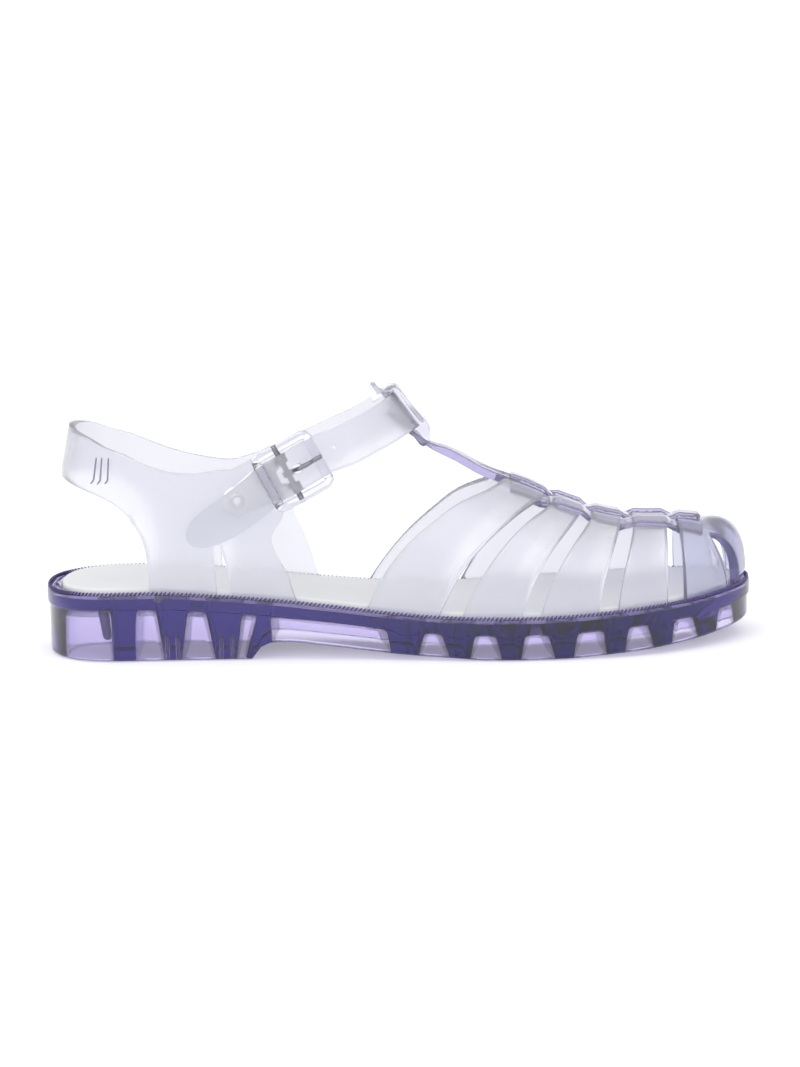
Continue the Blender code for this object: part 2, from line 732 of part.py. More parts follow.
def build_rim():
    """The ring that the straps stand on, inside the sole's lip."""
    bm = bmesh.new()
    levels = (
        (RIM_INSET, lambda x: plate_height(x) + CLEARANCE),
        (RIM_INSET, lambda x: rim_height(x) + CLEARANCE),
        (RIM_INSET + RIM_WALL, lambda x: rim_height(x) + CLEARANCE),
        (RIM_INSET + RIM_WALL, lambda x: plate_height(x) + CLEARANCE),
    )
    rings = [[(p.x, p.y, height(p.x)) for p in outline(inset)] for inset, height in levels]
    bridge_rings(bm, rings + rings[:1])
    bmesh.ops.remove_doubles(bm, verts=bm.verts, dist=1e-4)
    bmesh.ops.recalc_face_normals(bm, faces=bm.faces)
    return place("rim_ring", bm, None)


def rise_at(along, distance):
    """Side and rise of the point of the last that lies a distance beside the ridge."""
    side = -1 if distance < 0 else 1
    y_rim = inset_y(x_of(along), side, LAST_INSET)
    y_top = BALL_WIDTH * blend(RIDGE, "side", along)
    share = min(abs(distance) / abs(y_rim - y_top), 1.0)
    fullness = blend(RIDGE, "fullness", along)
    return side, math.acos(share ** (fullness / 2)) / (math.pi / 2)


def last_ribbon(name, marks, half, offset, wall, middle=0.0):
    """A ribbon on the last: its marks along it, half width, and lift off the last and wall at each mark."""
    rings = []
    for along in marks:
        lift, thick = offset(along), wall(along)
        inner, outer = [], []
        for distance in (middle - half, middle, middle + half):
            side, rise = rise_at(along, distance)
            foot = last_point(along, rise, side)
            out = last_normal(along, rise, side)
            inner.append(foot + out * lift)
            outer.append(foot + out * (lift + thick))
        rings.append(inner + outer[::-1])
    return place(name, loft(rings), None)


def weave_lift(strip):
    """Lift of a lengthwise strip: over one vamp strap and under the next."""
    def lift(along):
        best, high = 9.0, 0.0
        for index, strap in enumerate(STRAPS):
            middle = (strap.rear_top + strap.front_top) / 2
            gap = abs(along - middle)
            if gap < best:
                best, high = gap, 1.0 if (index + strip) % 2 == 0 else -1.0
        pitch = (STRAPS[-1].front_top - STRAPS[0].rear_top) / len(STRAPS)
        swing = math.cos(min(best / pitch, 0.5) * math.pi)
        return WALL * 0.22 + high * swing * WALL * 0.52
    return lift


def build_strips():
    """Three lengthwise strips of the weave."""
    made = []
    first, last = STRAPS[0].rear_top + 0.006, FAN_START - 0.006
    count = 20
    marks = [first + (last - first) * i / count for i in range(count + 1)]
    for strip in (-1, 0, 1):
        made.append(last_ribbon(f"strip_{strip + 1}", marks, STRIP_WIDTH / 2, weave_lift(strip),
                                lambda along: STRIP_WALL, middle=strip * STRIP_PITCH))
    return made


def box_between(name, low, high, to_place):
    """A box given by two corners in a piece's own directions."""
    corners = [[to_place(a, p, n) for a, p in ((low[0], low[1]), (high[0], low[1]), (high[0], high[1]),
                                               (low[0], high[1]))] for n in (low[2], high[2])]
    return place(name, loft(corners), None)


def at_loop(w, y, n):
    """A point in the loop's own directions: down the instep, sideways and outwards."""
    x = x_of(STRAP_LINE[-1].along)
    middle = Vector((x, BALL_WIDTH * blend(RIDGE, "side", STRAP_LINE[-1].along), strap_height(x)))
    down = Vector((math.cos(LOOP_TILT), 0, -math.sin(LOOP_TILT)))
    out = Vector((math.sin(LOOP_TILT), 0, math.cos(LOOP_TILT)))
    return middle + down * w + Vector((0, y, 0)) + out * n


def build_tstrap():
    """The strap from the weave up the instep, with the loop that the ankle strap runs through."""
    first, last = TEE_TOP, STRAPS[0].rear_top + 0.02
    marks = [first + (last - first) * i / 14 for i in range(15)]
    tee = last_ribbon("tee", marks, TSTRAP_WIDTH / 2, lambda along: -TSTRAP_SINK,
                      lambda along: blend(TEE_WALLS, "wall", along) * TSTRAP_WALL)
    loop = box_between("loop", (-LOOP_REAR, -LOOP_WIDTH / 2, -LOOP_SINK),
                       (LOOP_FRONT, LOOP_WIDTH / 2, WALL + LOOP_CLEARANCE + LOOP_BRIDGE), at_loop)
    half = ANKLE_STRAP_WIDTH / 2 + LOOP_CLEARANCE
    slot = box_between("slot", (-half, -LOOP_WIDTH, -LOOP_CLEARANCE), (half, LOOP_WIDTH, WALL + LOOP_CLEARANCE),
                       at_loop)
    combine(loop, slot, "DIFFERENCE")
    return [tee, loop]


def disc(centre, across, reach, radius, count):
    """A ring of points round a centre."""
    return [centre + across * radius * math.cos(2 * math.pi * i / count)
            + reach * radius * math.sin(2 * math.pi * i / count) for i in range(count)]


def rod(name, start, end, radius, finish=None, count=12):
    """A round rod between two points."""
    run = (end - start).normalized()
    across = run.cross(Vector((0.3, 0.2, 0.9))).normalized()
    reach = run.cross(across)
    return place(name, loft([disc(start, across, reach, radius, count), disc(end, across, reach, radius, count)]),
                 finish)


def build_upper(finish):
    """Everything that the mould makes in one piece above the sole."""
    upper = build_vamp()
    upper.name = "upper"
    upper.data.name = "upper"
    upper.data.materials.append(finish)
    for tool in [build_rim(), build_rear(), *build_strips(), *build_tstrap()]:
        combine(upper, tool, "UNION")
    for index in range(HOLE_COUNT):
        mark = FIRST_HOLE + index * HOLE_PITCH
        radius = HOLE_RADIUS + (PRONG_RADIUS if index == 0 else 0.0)
        hole = rod(f"strap_hole_{index}", at_buckle(mark, 0, -CUT_SPARE), at_buckle(mark, 0, 4 * CUT_SPARE), radius)
        combine(upper, hole, "DIFFERENCE")
    rivet_hole = rod("rivet_hole", at_buckle(-RIVET_REACH, 0, -CUT_SPARE),
                     at_buckle(-RIVET_REACH, 0, WALL + CLEARANCE), RIVET_SHANK + CLEARANCE)
    combine(upper, rivet_hole, "DIFFERENCE")
    return upper


def round_rectangle(rear, front, half, radius, steps=3):
    """Corner-rounded rectangle in the buckle's plane."""
    corners = ((front - radius, half - radius, 0), (rear + radius, half - radius, 90),
               (rear + radius, radius - half, 180), (front - radius, radius - half, 270))
    return [(a + radius * math.cos(math.radians(turn + 90 * k / steps)),
             p + radius * math.sin(math.radians(turn + 90 * k / steps)))
            for a, p, turn in corners for k in range(steps + 1)]


def buckle_prism(name, points, low, high):
    """An upright prism on the buckle's plane."""
    return place(name, loft([[at_buckle(a, p, n) for a, p in points] for n in (low, high)]), None)


def build_buckle_frame(finish):
    """Clear moulded frame: two rails, with the pin in them, and two bars over the strap."""
    rear, front = BUCKLE_SHIFT - BUCKLE_LENGTH / 2, BUCKLE_SHIFT + BUCKLE_LENGTH / 2
    half = BUCKLE_WIDTH / 2
    low, high = WALL + FRAME_REST, PIN_OUT + PIN_RADIUS + FRAME_TOP
    frame = buckle_prism("buckle_frame", round_rectangle(rear, front, half, BUCKLE_CORNER), low, high)
    frame.data.materials.append(finish)
    window = buckle_prism("frame_window", round_rectangle(rear + BUCKLE_BAR, front - BUCKLE_BAR, half - BUCKLE_RAIL,
                                                          BUCKLE_CORNER / 2), low - CUT_SPARE,
                           high + CUT_SPARE)
    combine(frame, window, "DIFFERENCE")
    lifts = lift_table()
    inner = half - BUCKLE_RAIL + 0.01
    rear_bar, front_bar = bar_centres()
    for name, centre in (("rear", rear_bar), ("front", front_bar)):
        under = max(blend(lifts, "lift", centre - BUCKLE_BAR / 2), blend(lifts, "lift", centre + BUCKLE_BAR / 2))
        under += WALL + 2 * CLEARANCE
        reach = BUCKLE_BAR / 2 + 2 * CLEARANCE
        channel = box_between(f"{name}_channel", (centre - reach, -inner, low - CUT_SPARE),
                              (centre + reach, inner, under), at_buckle)
        combine(frame, channel, "DIFFERENCE")
        if name == "front":
            top = box_between("front_top", (centre - reach, -half - CUT_SPARE, under + BUCKLE_THICK),
                              (centre + reach, half + CUT_SPARE, high + CUT_SPARE), at_buckle)
            combine(frame, top, "DIFFERENCE")
    deep = half - PIN_END_WALL
    bore = rod("pin_bore", at_buckle(0, -deep, PIN_OUT), at_buckle(0, deep, PIN_OUT), PIN_RADIUS + CLEARANCE)
    combine(frame, bore, "DIFFERENCE")
    return frame


def build_buckle_pin(finish):
    """The pin that frame, plate and prong turn on."""
    end = BUCKLE_WIDTH / 2 - PIN_END_WALL - CLEARANCE
    return rod("buckle_pin", at_buckle(0, -end, PIN_OUT), at_buckle(0, end, PIN_OUT), PIN_RADIUS, finish)


def build_buckle_plate(finish):
    """Folded metal tab: round end under the rivet, and two knuckles round the pin."""
    low = WALL + CLEARANCE
    high = low + PLATE_METAL
    outer_ear = KNUCKLE_LENGTH + KNUCKLE_APART - PLATE_EAR_STEP
    inner_ear = KNUCKLE_APART + PLATE_EAR_STEP
    edge = [(0.0, -outer_ear), (0.0, -inner_ear), (-PLATE_SLOT, -PLATE_WAIST), (-PLATE_SLOT, PLATE_WAIST),
            (0.0, inner_ear), (0.0, outer_ear), (-PLATE_SHOULDER, outer_ear)]
    for k in range(PLATE_END_STEPS + 1):
        turn = PLATE_END_START + (2 * math.pi - 2 * PLATE_END_START) * k / PLATE_END_STEPS
        edge.append((-RIVET_REACH + PLATE_END_RADIUS * math.cos(turn), PLATE_END_RADIUS * math.sin(turn)))
    edge.append((-PLATE_SHOULDER, -outer_ear))
    plate = place("buckle_plate", loft([[at_buckle(a, p, n) for a, p in edge] for n in (low, high)]), finish)
    for side in (-1, 1):
        inner, outer = side * KNUCKLE_APART, side * (KNUCKLE_APART + KNUCKLE_LENGTH)
        knuckle = rod(f"knuckle_{side + 1}", at_buckle(0, inner, PIN_OUT), at_buckle(0, outer, PIN_OUT),
                      KNUCKLE_RADIUS)
        combine(plate, knuckle, "UNION")
    reach = KNUCKLE_APART + KNUCKLE_LENGTH + CUT_SPARE
    bore = rod("knuckle_bore", at_buckle(0, -reach, PIN_OUT), at_buckle(0, reach, PIN_OUT), PIN_RADIUS + CLEARANCE)
    combine(plate, bore, "DIFFERENCE")
    hole = rod("plate_hole", at_buckle(-RIVET_REACH, 0, low - CUT_SPARE),
               at_buckle(-RIVET_REACH, 0, high + CUT_SPARE), RIVET_SHANK + CLEARANCE)
    combine(plate, hole, "DIFFERENCE")
    return plate


def build_rivet(finish):
    """Hollow rivet through plate and quarter."""
    top = WALL + 2 * CLEARANCE + PLATE_METAL
    low = -CLEARANCE
    profile = [(RIVET_BORE, low - RIVET_HEAD_RISE), (RIVET_HEAD, low - RIVET_HEAD_RISE), (RIVET_HEAD, low),
               (RIVET_SHANK, low), (RIVET_SHANK, top), (RIVET_HEAD, top), (RIVET_HEAD, top + RIVET_HEAD_RISE / 2),
               (RIVET_HEAD - RIVET_BEVEL, top + RIVET_HEAD_RISE), (RIVET_BORE, top + RIVET_HEAD_RISE)]
    frame = buckle_place()
    bm = bmesh.new()
    rings = [disc(at_buckle(-RIVET_REACH, 0, n), frame.along, frame.across, radius, 16) for radius, n in profile]
    bridge_rings(bm, rings + rings[:1])
    bmesh.ops.remove_doubles(bm, verts=bm.verts, dist=1e-4)
    bmesh.ops.recalc_face_normals(bm, faces=bm.faces)
    return place("rivet", bm, finish)


def build_prong(finish):
    """Prong: a coil round the pin and a wire through the strap's hole onto the right bar."""
    frame = buckle_place()
    coil = PRONG_RADIUS * 1.5
    ring_out = KNUCKLE_RADIUS
    prong = rod("buckle_prong", at_buckle(0, -coil, PIN_OUT), at_buckle(0, coil, PIN_OUT), ring_out, finish)
    strap_top = PIN_OUT + KNUCKLE_RADIUS + CLEARANCE + WALL
    front_bar = bar_centres()[1]
    reach = BUCKLE_BAR / 2
    bar_top = blend(lift_table(), "lift", front_bar - reach) + WALL + 2 * CLEARANCE + BUCKLE_THICK
    rest = bar_top + PRONG_RADIUS + CLEARANCE
    under = PIN_OUT + ring_out - PRONG_RADIUS
    over = strap_top + PRONG_RADIUS
    route = [(PRONG_RADIUS, under), (FIRST_HOLE - PRONG_RISE, under), (FIRST_HOLE, (under + over) / 2),
             (FIRST_HOLE + PRONG_RISE, over), (front_bar - 2 * reach, over), (front_bar - reach, rest),
             (front_bar + reach, rest)]
    rings = []
    for i, (a, n) in enumerate(route):
        before, after = route[max(i - 1, 0)], route[min(i + 1, len(route) - 1)]
        run = (at_buckle(after[0], 0, after[1]) - at_buckle(before[0], 0, before[1])).normalized()
        rings.append(disc(at_buckle(a, 0, n), frame.across, run.cross(frame.across).normalized(), PRONG_RADIUS, 10))
    combine(prong, place("prong_wire", loft(rings), None), "UNION")
    spare = coil + CUT_SPARE
    bore = rod("prong_bore", at_buckle(0, -spare, PIN_OUT), at_buckle(0, spare, PIN_OUT), PIN_RADIUS + CLEARANCE)
    combine(prong, bore, "DIFFERENCE")
    return prong


def main():
    """Build the sandal from the sole up."""
    for old in list(bpy.data.objects):
        bpy.data.objects.remove(old, do_unlink=True)
    clear = material("clear_pvc", (0.76, 0.75, 0.86), 0.12, clear=0.8)
    tinted = material("lilac_pvc", (0.33, 0.28, 0.55), 0.12, clear=0.6)
    cloth = material("insole_cloth", (0.86, 0.85, 0.83), 0.8)
    chrome = material("polished_steel", (0.78, 0.79, 0.82), 0.18, metallic=1.0)
    build_outsole(tinted)
    build_insole(cloth)
    build_upper(clear)
    build_buckle_frame(clear)
    build_buckle_pin(chrome)
    build_buckle_plate(chrome)
    build_rivet(chrome)
    build_prong(chrome)


main()
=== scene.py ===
"""Right-foot jelly sandal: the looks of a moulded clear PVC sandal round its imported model.

Every length is in millimetres until a piece is finished, which turns it into metres. +X points to the toe, -Y to the
outer (lateral) side and +Z up. The sizes and tables start from those of the part's own source.
"""
from __future__ import annotations

import logging
import math
from bisect import bisect_right
from collections.abc import Callable, Sequence
from dataclasses import dataclass, field
from enum import Enum
from typing import NamedTuple

import bmesh
import bpy
from mathutils import Matrix, Vector

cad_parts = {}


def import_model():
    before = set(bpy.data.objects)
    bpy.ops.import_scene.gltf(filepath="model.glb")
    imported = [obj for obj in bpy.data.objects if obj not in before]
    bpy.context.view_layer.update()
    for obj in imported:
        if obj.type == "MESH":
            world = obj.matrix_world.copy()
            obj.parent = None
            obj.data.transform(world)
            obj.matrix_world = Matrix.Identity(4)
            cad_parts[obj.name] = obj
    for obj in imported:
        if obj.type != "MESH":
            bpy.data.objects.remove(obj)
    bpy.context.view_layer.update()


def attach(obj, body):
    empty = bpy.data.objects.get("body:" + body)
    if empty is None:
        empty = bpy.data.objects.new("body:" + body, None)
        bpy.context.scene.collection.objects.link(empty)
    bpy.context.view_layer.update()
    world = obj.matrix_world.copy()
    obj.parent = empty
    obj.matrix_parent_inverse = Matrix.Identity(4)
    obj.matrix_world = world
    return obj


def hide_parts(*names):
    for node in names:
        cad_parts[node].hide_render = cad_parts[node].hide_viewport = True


LOG = logging.getLogger("sandal")
MM = 0.001
INSTEP_TILT = math.radians(54.5)
BODY = "root"


class Side(Enum):
    """The two sides of the shoe, with the sign of y on each."""

    LATERAL = -1
    MEDIAL = 1


class Slot(Enum):
    """Material slots of the record."""

    CLEAR = "clear_pvc"
    LILAC = "lilac_pvc"
    CLOTH = "insole_cloth"
    STEEL = "polished_steel"


# ---- small tools -----------------------------------------------------------------------------------------------


def linear(hex_code: str) -> tuple[float, float, float, float]:
    """Turn an sRGB hex colour into linear values.

    Args:
        hex_code: Colour as "#rrggbb".

    Returns:
        Red, green, blue and an alpha of 1.
    """
    parts = [int(hex_code[i:i + 2], 16) / 255 for i in (1, 3, 5)]
    red, green, blue = (c / 12.92 if c <= 0.04045 else ((c + 0.055) / 1.055) ** 2.4 for c in parts)
    return red, green, blue, 1.0


def clamp(value: float, low: float = 0.0, high: float = 1.0) -> float:
    """Keep a value between two limits.

    Args:
        value: The value.
        low: Least result.
        high: Greatest result.

    Returns:
        The value, or the limit that it passed.
    """
    return min(max(value, low), high)


def ease(value: float) -> float:
    """Smooth step of a share from 0 to 1.

    Args:
        value: Any number, limited to 0 to 1 first.

    Returns:
        The eased share.
    """
    share = clamp(value)
    return share * share * (3 - 2 * share)


@dataclass(frozen=True)
class Curve:
    """A smooth curve through points that never overshoots them."""

    keys: tuple[float, ...]
    values: tuple[float, ...]

    @classmethod
    def column(cls, rows: Sequence[NamedTuple], name: str, key: str = "along") -> "Curve":
        """Take one column of a table.

        Args:
            rows: The table's rows.
            name: Column with the values.
            key: Column with the keys.

        Returns:
            The curve through them.
        """
        return cls(tuple(getattr(r, key) for r in rows), tuple(getattr(r, name) for r in rows))

    def at(self, key: float) -> float:
        """Read the curve.

        Args:
            key: Place on the curve.

        Returns:
            The value there, or the nearer end's value outside it.
        """
        keys, values = self.keys, self.values
        if key <= keys[0]:
            return values[0]
        if key >= keys[-1]:
            return values[-1]
        i = bisect_right(keys, key) - 1
        span = keys[i + 1] - keys[i]
        u = (key - keys[i]) / span
        start, end = self._tangent(i), self._tangent(i + 1)
        return (values[i] * (1 + 2 * u) * (1 - u) ** 2 + span * start * u * (1 - u) ** 2
                + values[i + 1] * u * u * (3 - 2 * u) + span * end * u * u * (u - 1))

    def _tangent(self, i: int) -> float:
        """Slope at a key, the harmonic mean of its two spans.

        Args:
            i: Index of the key.

        Returns:
            The slope.
        """
        last = len(self.keys) - 1
        slopes = [(self.values[k + 1] - self.values[k]) / (self.keys[k + 1] - self.keys[k])
                  for k in range(max(i - 1, 0), min(i + 1, last))]
        if len(slopes) == 1:
            return slopes[0]
        before, after = slopes
        return 0.0 if before * after <= 0 else 2 * before * after / (before + after)


Surface = Callable[[float, float], Vector]


def add_grid(bm: bmesh.types.BMesh, columns: int, rows: int, place: Surface) -> list[bmesh.types.BMVert]:
    """Add a grid of faces laid on a surface.

    Args:
        bm: Mesh that takes it.
        columns: Faces along the surface's first direction.
        rows: Faces along its second direction.
        place: Point of the surface for two shares from 0 to 1.

    Returns:
        The new vertices.
    """
    made = bmesh.ops.create_grid(bm, x_segments=columns, y_segments=rows, size=0.5)["verts"]
    for vert in made:
        vert.co = place(clamp(vert.co.x + 0.5), clamp(vert.co.y + 0.5))
    return made


def weld(bm: bmesh.types.BMesh, within: float = 0.01) -> None:
    """Merge the points of touching grids and face everything outwards.

    Args:
        bm: Mesh to merge.
        within: Distance of points that become one.
    """
    bmesh.ops.remove_doubles(bm, verts=bm.verts, dist=within)
    bmesh.ops.dissolve_degenerate(bm, edges=bm.edges, dist=within / 2)
    bmesh.ops.recalc_face_normals(bm, faces=bm.faces)


def add_tube(bm: bmesh.types.BMesh, sections: Sequence[Sequence[Vector]], closed: bool = False) -> None:
    """Add a tube through closed sections, with its ends filled.

    Args:
        bm: Mesh that takes it.
        sections: Rings of equally many points, one after the other.
        closed: Whether the last section meets the first one.
    """
    count, steps = len(sections[0]), len(sections) - (0 if closed else 1)

    def place(u: float, v: float) -> Vector:
        """Read a section's point."""
        return sections[round(v * steps) % len(sections)][round(u * count) % count].copy()

    verts = add_grid(bm, count, steps, place)
    bmesh.ops.remove_doubles(bm, verts=verts, dist=1e-4)
    if not closed:
        rim = [e for e in bm.edges if e.is_boundary]
        bmesh.ops.holes_fill(bm, edges=rim, sides=0)


def add_round(bm: bmesh.types.BMesh, path: Sequence[Vector], radii: Sequence[float], count: int = 16) -> None:
    """Add a round rod along a path.

    Args:
        bm: Mesh that takes it.
        path: Points of its axis.
        radii: Radius at each point.
        count: Points of each ring.
    """
    sections = []
    for i, point in enumerate(path):
        run = (path[min(i + 1, len(path) - 1)] - path[max(i - 1, 0)]).normalized()
        across = run.cross(Vector((0.31, 0.23, 0.92))).normalized()
        reach = run.cross(across)
        sections.append([point + (across * math.cos(a) + reach * math.sin(a)) * radii[i]
                         for a in (math.tau * k / count for k in range(count))])
    add_tube(bm, sections)


def finish(name: str, bm: bmesh.types.BMesh, look: bpy.types.Material, slot: Slot) -> bpy.types.Object:
    """Turn a mesh in millimetres into a piece of the shoe.

    Args:
        name: Name of the piece.
        bm: Its mesh, which is freed.
        look: Its material.
        slot: Not used.

    Returns:
        The new object, in metres.
    """
    bmesh.ops.scale(bm, vec=(MM,) * 3, verts=bm.verts)
    mesh = bpy.data.meshes.new(name)
    bm.to_mesh(mesh)
    bm.free()
    mesh.materials.append(look)
    mesh.shade_smooth()
    made = bpy.data.objects.new(name, mesh)
    bpy.context.scene.collection.objects.link(made)
    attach(made, BODY)
    return made


def wall(piece: bpy.types.Object, thick: float) -> None:
    """Give an open sheet its wall, outwards, thinner where its group of points says so.

    Args:
        piece: The sheet.
        thick: Wall in millimetres.
    """
    step = piece.modifiers.new("wall", "SOLIDIFY")
    step.thickness = thick * MM
    step.offset = 1.0
    step.vertex_group = piece.vertex_groups[0].name if piece.vertex_groups else ""


def soften(piece: bpy.types.Object, width: float, segments: int = 2, angle: float = 40.0) -> None:
    """Round the sharp edges of a piece.

    Args:
        piece: The piece.
        width: Width of the rounding in millimetres.
        segments: Faces across it.
        angle: Least angle of a sharp edge, in degrees.
    """
    step = piece.modifiers.new("soft_edges", "BEVEL")
    step.width = width * MM
    step.segments = segments
    step.limit_method = "ANGLE"
    step.angle_limit = math.radians(angle)
    step.harden_normals = True


def cut(piece: bpy.types.Object, tool: bpy.types.Object) -> None:
    """Cut a tool out of a piece.

    Args:
        piece: The piece.
        tool: The solid that is taken away.
    """
    step = piece.modifiers.new(tool.name, "BOOLEAN")
    step.object = tool
    step.operation = "DIFFERENCE"
    step.solver = "EXACT"


def settle(piece: bpy.types.Object, angle: float = 30.0) -> None:
    """Apply every modifier of a piece and mark its sharp edges.

    Args:
        piece: The piece.
        angle: Least angle of a sharp edge, in degrees.
    """
    graph = bpy.context.evaluated_depsgraph_get()
    mesh = bpy.data.meshes.new_from_object(piece.evaluated_get(graph))
    piece.modifiers.clear()
    old = piece.data
    piece.data = mesh
    bpy.data.meshes.remove(old)
    mesh.name = piece.name
    mesh.shade_smooth()
    mesh.set_sharp_from_angle(angle=math.radians(angle))


def solid(name: str, bm: bmesh.types.BMesh, look: bpy.types.Material, slot: Slot, smooth: float = 50.0,
          edge: tuple[float, int, float] | None = None) -> bpy.types.Object:
    """Turn a closed mesh in millimetres into a finished piece.

    Args:
        name: Name of the piece.
        bm: Its mesh, which is freed.
        look: Its material.
        slot: The record's slot for it.
        smooth: Greatest angle that is shaded smooth, in degrees.
        edge: Width, segments and least angle of its round edges, if it has them.

    Returns:
        The piece, with its modifiers applied.
    """
    bmesh.ops.recalc_face_normals(bm, faces=bm.faces)
    made = finish(name, bm, look, slot)
    if edge:
        soften(made, *edge)
    settle(made, smooth)
    return made


def tool_object(name: str, bm: bmesh.types.BMesh) -> bpy.types.Object:
    """Make a cutter, which is deleted after its cut.

    Args:
        name: Name of the cutter.
        bm: Its mesh in millimetres, which is freed.

    Returns:
        The cutter, in metres.
    """
    bmesh.ops.recalc_face_normals(bm, faces=bm.faces)
    bmesh.ops.scale(bm, vec=(MM,) * 3, verts=bm.verts)
    mesh = bpy.data.meshes.new(name)
    bm.to_mesh(mesh)
    bm.free()
    made = bpy.data.objects.new(name, mesh)
    bpy.context.scene.collection.objects.link(made)
    return made


def drop(tools: Sequence[bpy.types.Object]) -> None:
    """Delete cutters.

    Args:
        tools: The cutters.
    """
    for tool in tools:
        bpy.data.objects.remove(tool, do_unlink=True)


# ---- finishes --------------------------------------------------------------------------------------------------


def add_node(tree: bpy.types.NodeTree, kind: str, settings: dict[str, object] | None = None,
             links: dict[str | int, bpy.types.NodeSocket] | None = None) -> bpy.types.Node:
    """Add a node with its settings and links.

    Args:
        tree: Node tree.
        kind: Node type without "ShaderNode".
        settings: Values by input name or, after a dot, by attribute name.
        links: Sockets to link to inputs, by input name or number.

    Returns:
        The node.
    """
    made = tree.nodes.new("ShaderNode" + kind)
    for key, value in (settings or {}).items():
        if key.startswith("."):
            setattr(made, key[1:], value)
        else:
            made.inputs[key].default_value = value
    for key, socket in (links or {}).items():
        tree.links.new(socket, made.inputs[key])
    return made


def new_material(name: str) -> tuple[bpy.types.Material, bpy.types.NodeTree, bpy.types.Node]:
    """Start a material with only its output.

    Args:
        name: Name of the material.

    Returns:
        The material, its tree and its output node.
    """
    made = bpy.data.materials.new(name)
    made.use_nodes = True
    made.node_tree.nodes.clear()
    return made, made.node_tree, add_node(made.node_tree, "OutputMaterial")


@dataclass(frozen=True)
class ClearPvc:
    """Plasticised PVC from a polished mould: clear, slightly milky, and darker the longer light runs inside it."""

    name: str
    body: str
    haze: float
    absorbed: str = "#7a5fc8"
    density: float = 60.0
    roughness: float = 0.07
    shadow: str = "#f9f8fd"
    ripple_mm: float = 6.0
    ripple: float = 0.04
    specular: float = 0.5
    ior: float = 1.53

    def make(self) -> bpy.types.Material:
        """Build the material.

        Returns:
            The material.
        """
        made, tree, out = new_material(self.name)
        place = add_node(tree, "TexCoord")
        # soft flow marks of the melt in the mould
        flow = add_node(tree, "TexNoise", {"Scale": 1.0 / (self.ripple_mm * MM), "Detail": 2.0, "Roughness": 0.45},
                        {"Vector": place.outputs["Object"]})
        bump = add_node(tree, "Bump", {"Strength": self.ripple, "Distance": 0.4 * MM},
                        {"Height": flow.outputs["Fac"]})
        shine = add_node(tree, "MapRange", {"From Min": 0.35, "From Max": 0.65, "To Min": self.roughness,
                                            "To Max": self.roughness + 0.05}, {"Value": flow.outputs["Fac"]})
        shader = add_node(tree, "BsdfPrincipled", {
            "Base Color": linear(self.body), "Transmission Weight": 1.0 - self.haze, "IOR": self.ior,
            "Specular IOR Level": self.specular},
            {"Roughness": shine.outputs["Result"], "Normal": bump.outputs["Normal"]})
        through = add_node(tree, "BsdfTransparent", {"Color": linear(self.shadow)})
        path = add_node(tree, "LightPath")
        mix = add_node(tree, "MixShader", None, {0: path.outputs["Is Shadow Ray"], 1: shader.outputs["BSDF"],
                                                2: through.outputs["BSDF"]})
        soak = add_node(tree, "VolumeAbsorption", {"Color": linear(self.absorbed), "Density": self.density})
        tree.links.new(mix.outputs["Shader"], out.inputs["Surface"])
        tree.links.new(soak.outputs["Volume"], out.inputs["Volume"])
        return made


@dataclass(frozen=True)
class SockCloth:
    """Smooth laminated cloth over foam: matt off-white with a close weave that barely shows."""

    name: str = "laminated_sock_cloth"
    colour: str = "#edeeef"
    shade: str = "#e6e7e8"
    thread_mm: float = 0.6

    def make(self) -> bpy.types.Material:
        """Build the material.

        Returns:
            The material.
        """
        made, tree, out = new_material(self.name)
        place = add_node(tree, "TexCoord")
        # threads 0.3 mm apart would not show, so they are drawn twice as coarse
        weave = [add_node(tree, "TexWave", {".wave_type": "BANDS", ".bands_direction": way,
                                            "Scale": 0.314 / (self.thread_mm * MM), "Distortion": 0.6},
                          {"Vector": place.outputs["Object"]}) for way in ("X", "Y")]
        both = add_node(tree, "Math", {".operation": "MULTIPLY"},
                        {0: weave[0].outputs["Fac"], 1: weave[1].outputs["Fac"]})
        soil = add_node(tree, "TexNoise", {"Scale": 1.0 / (18.0 * MM), "Detail": 3.0},
                        {"Vector": place.outputs["Object"]})
        tone = add_node(tree, "Mix", {".data_type": "RGBA", "A": linear(self.colour), "B": linear(self.shade)},
                        {"Factor": soil.outputs["Fac"]})
        bump = add_node(tree, "Bump", {"Strength": 0.25, "Distance": 0.1 * MM}, {"Height": both.outputs["Value"]})
        shader = add_node(tree, "BsdfPrincipled", {"Roughness": 0.82, "Sheen Weight": 0.2},
                          {"Base Color": tone.outputs["Result"], "Normal": bump.outputs["Normal"]})
        tree.links.new(shader.outputs["BSDF"], out.inputs["Surface"])
        return made


@dataclass(frozen=True)
class PlatedSteel:
    """Stamped steel with a bright nickel plate: a soft shine with fine rolling marks."""

    name: str = "nickel_plated_steel"
    colour: str = "#f4f4f4"
    roughness: float = 0.3
    grain_mm: float = 0.5

    def make(self) -> bpy.types.Material:
        """Build the material.

        Returns:
            The material.
        """
        made, tree, out = new_material(self.name)
        place = add_node(tree, "TexCoord")
        grain = add_node(tree, "TexNoise", {"Scale": 1.0 / (self.grain_mm * MM), "Detail": 3.0},
                         {"Vector": place.outputs["Object"]})
        shine = add_node(tree, "MapRange", {"To Min": self.roughness, "To Max": self.roughness + 0.12},
                         {"Value": grain.outputs["Fac"]})
        bump = add_node(tree, "Bump", {"Strength": 0.05, "Distance": 0.05 * MM}, {"Height": grain.outputs["Fac"]})
        shader = add_node(tree, "BsdfPrincipled", {"Base Color": linear(self.colour), "Metallic": 1.0},
                          {"Roughness": shine.outputs["Result"], "Normal": bump.outputs["Normal"]})
        tree.links.new(shader.outputs["BSDF"], out.inputs["Surface"])
        return made


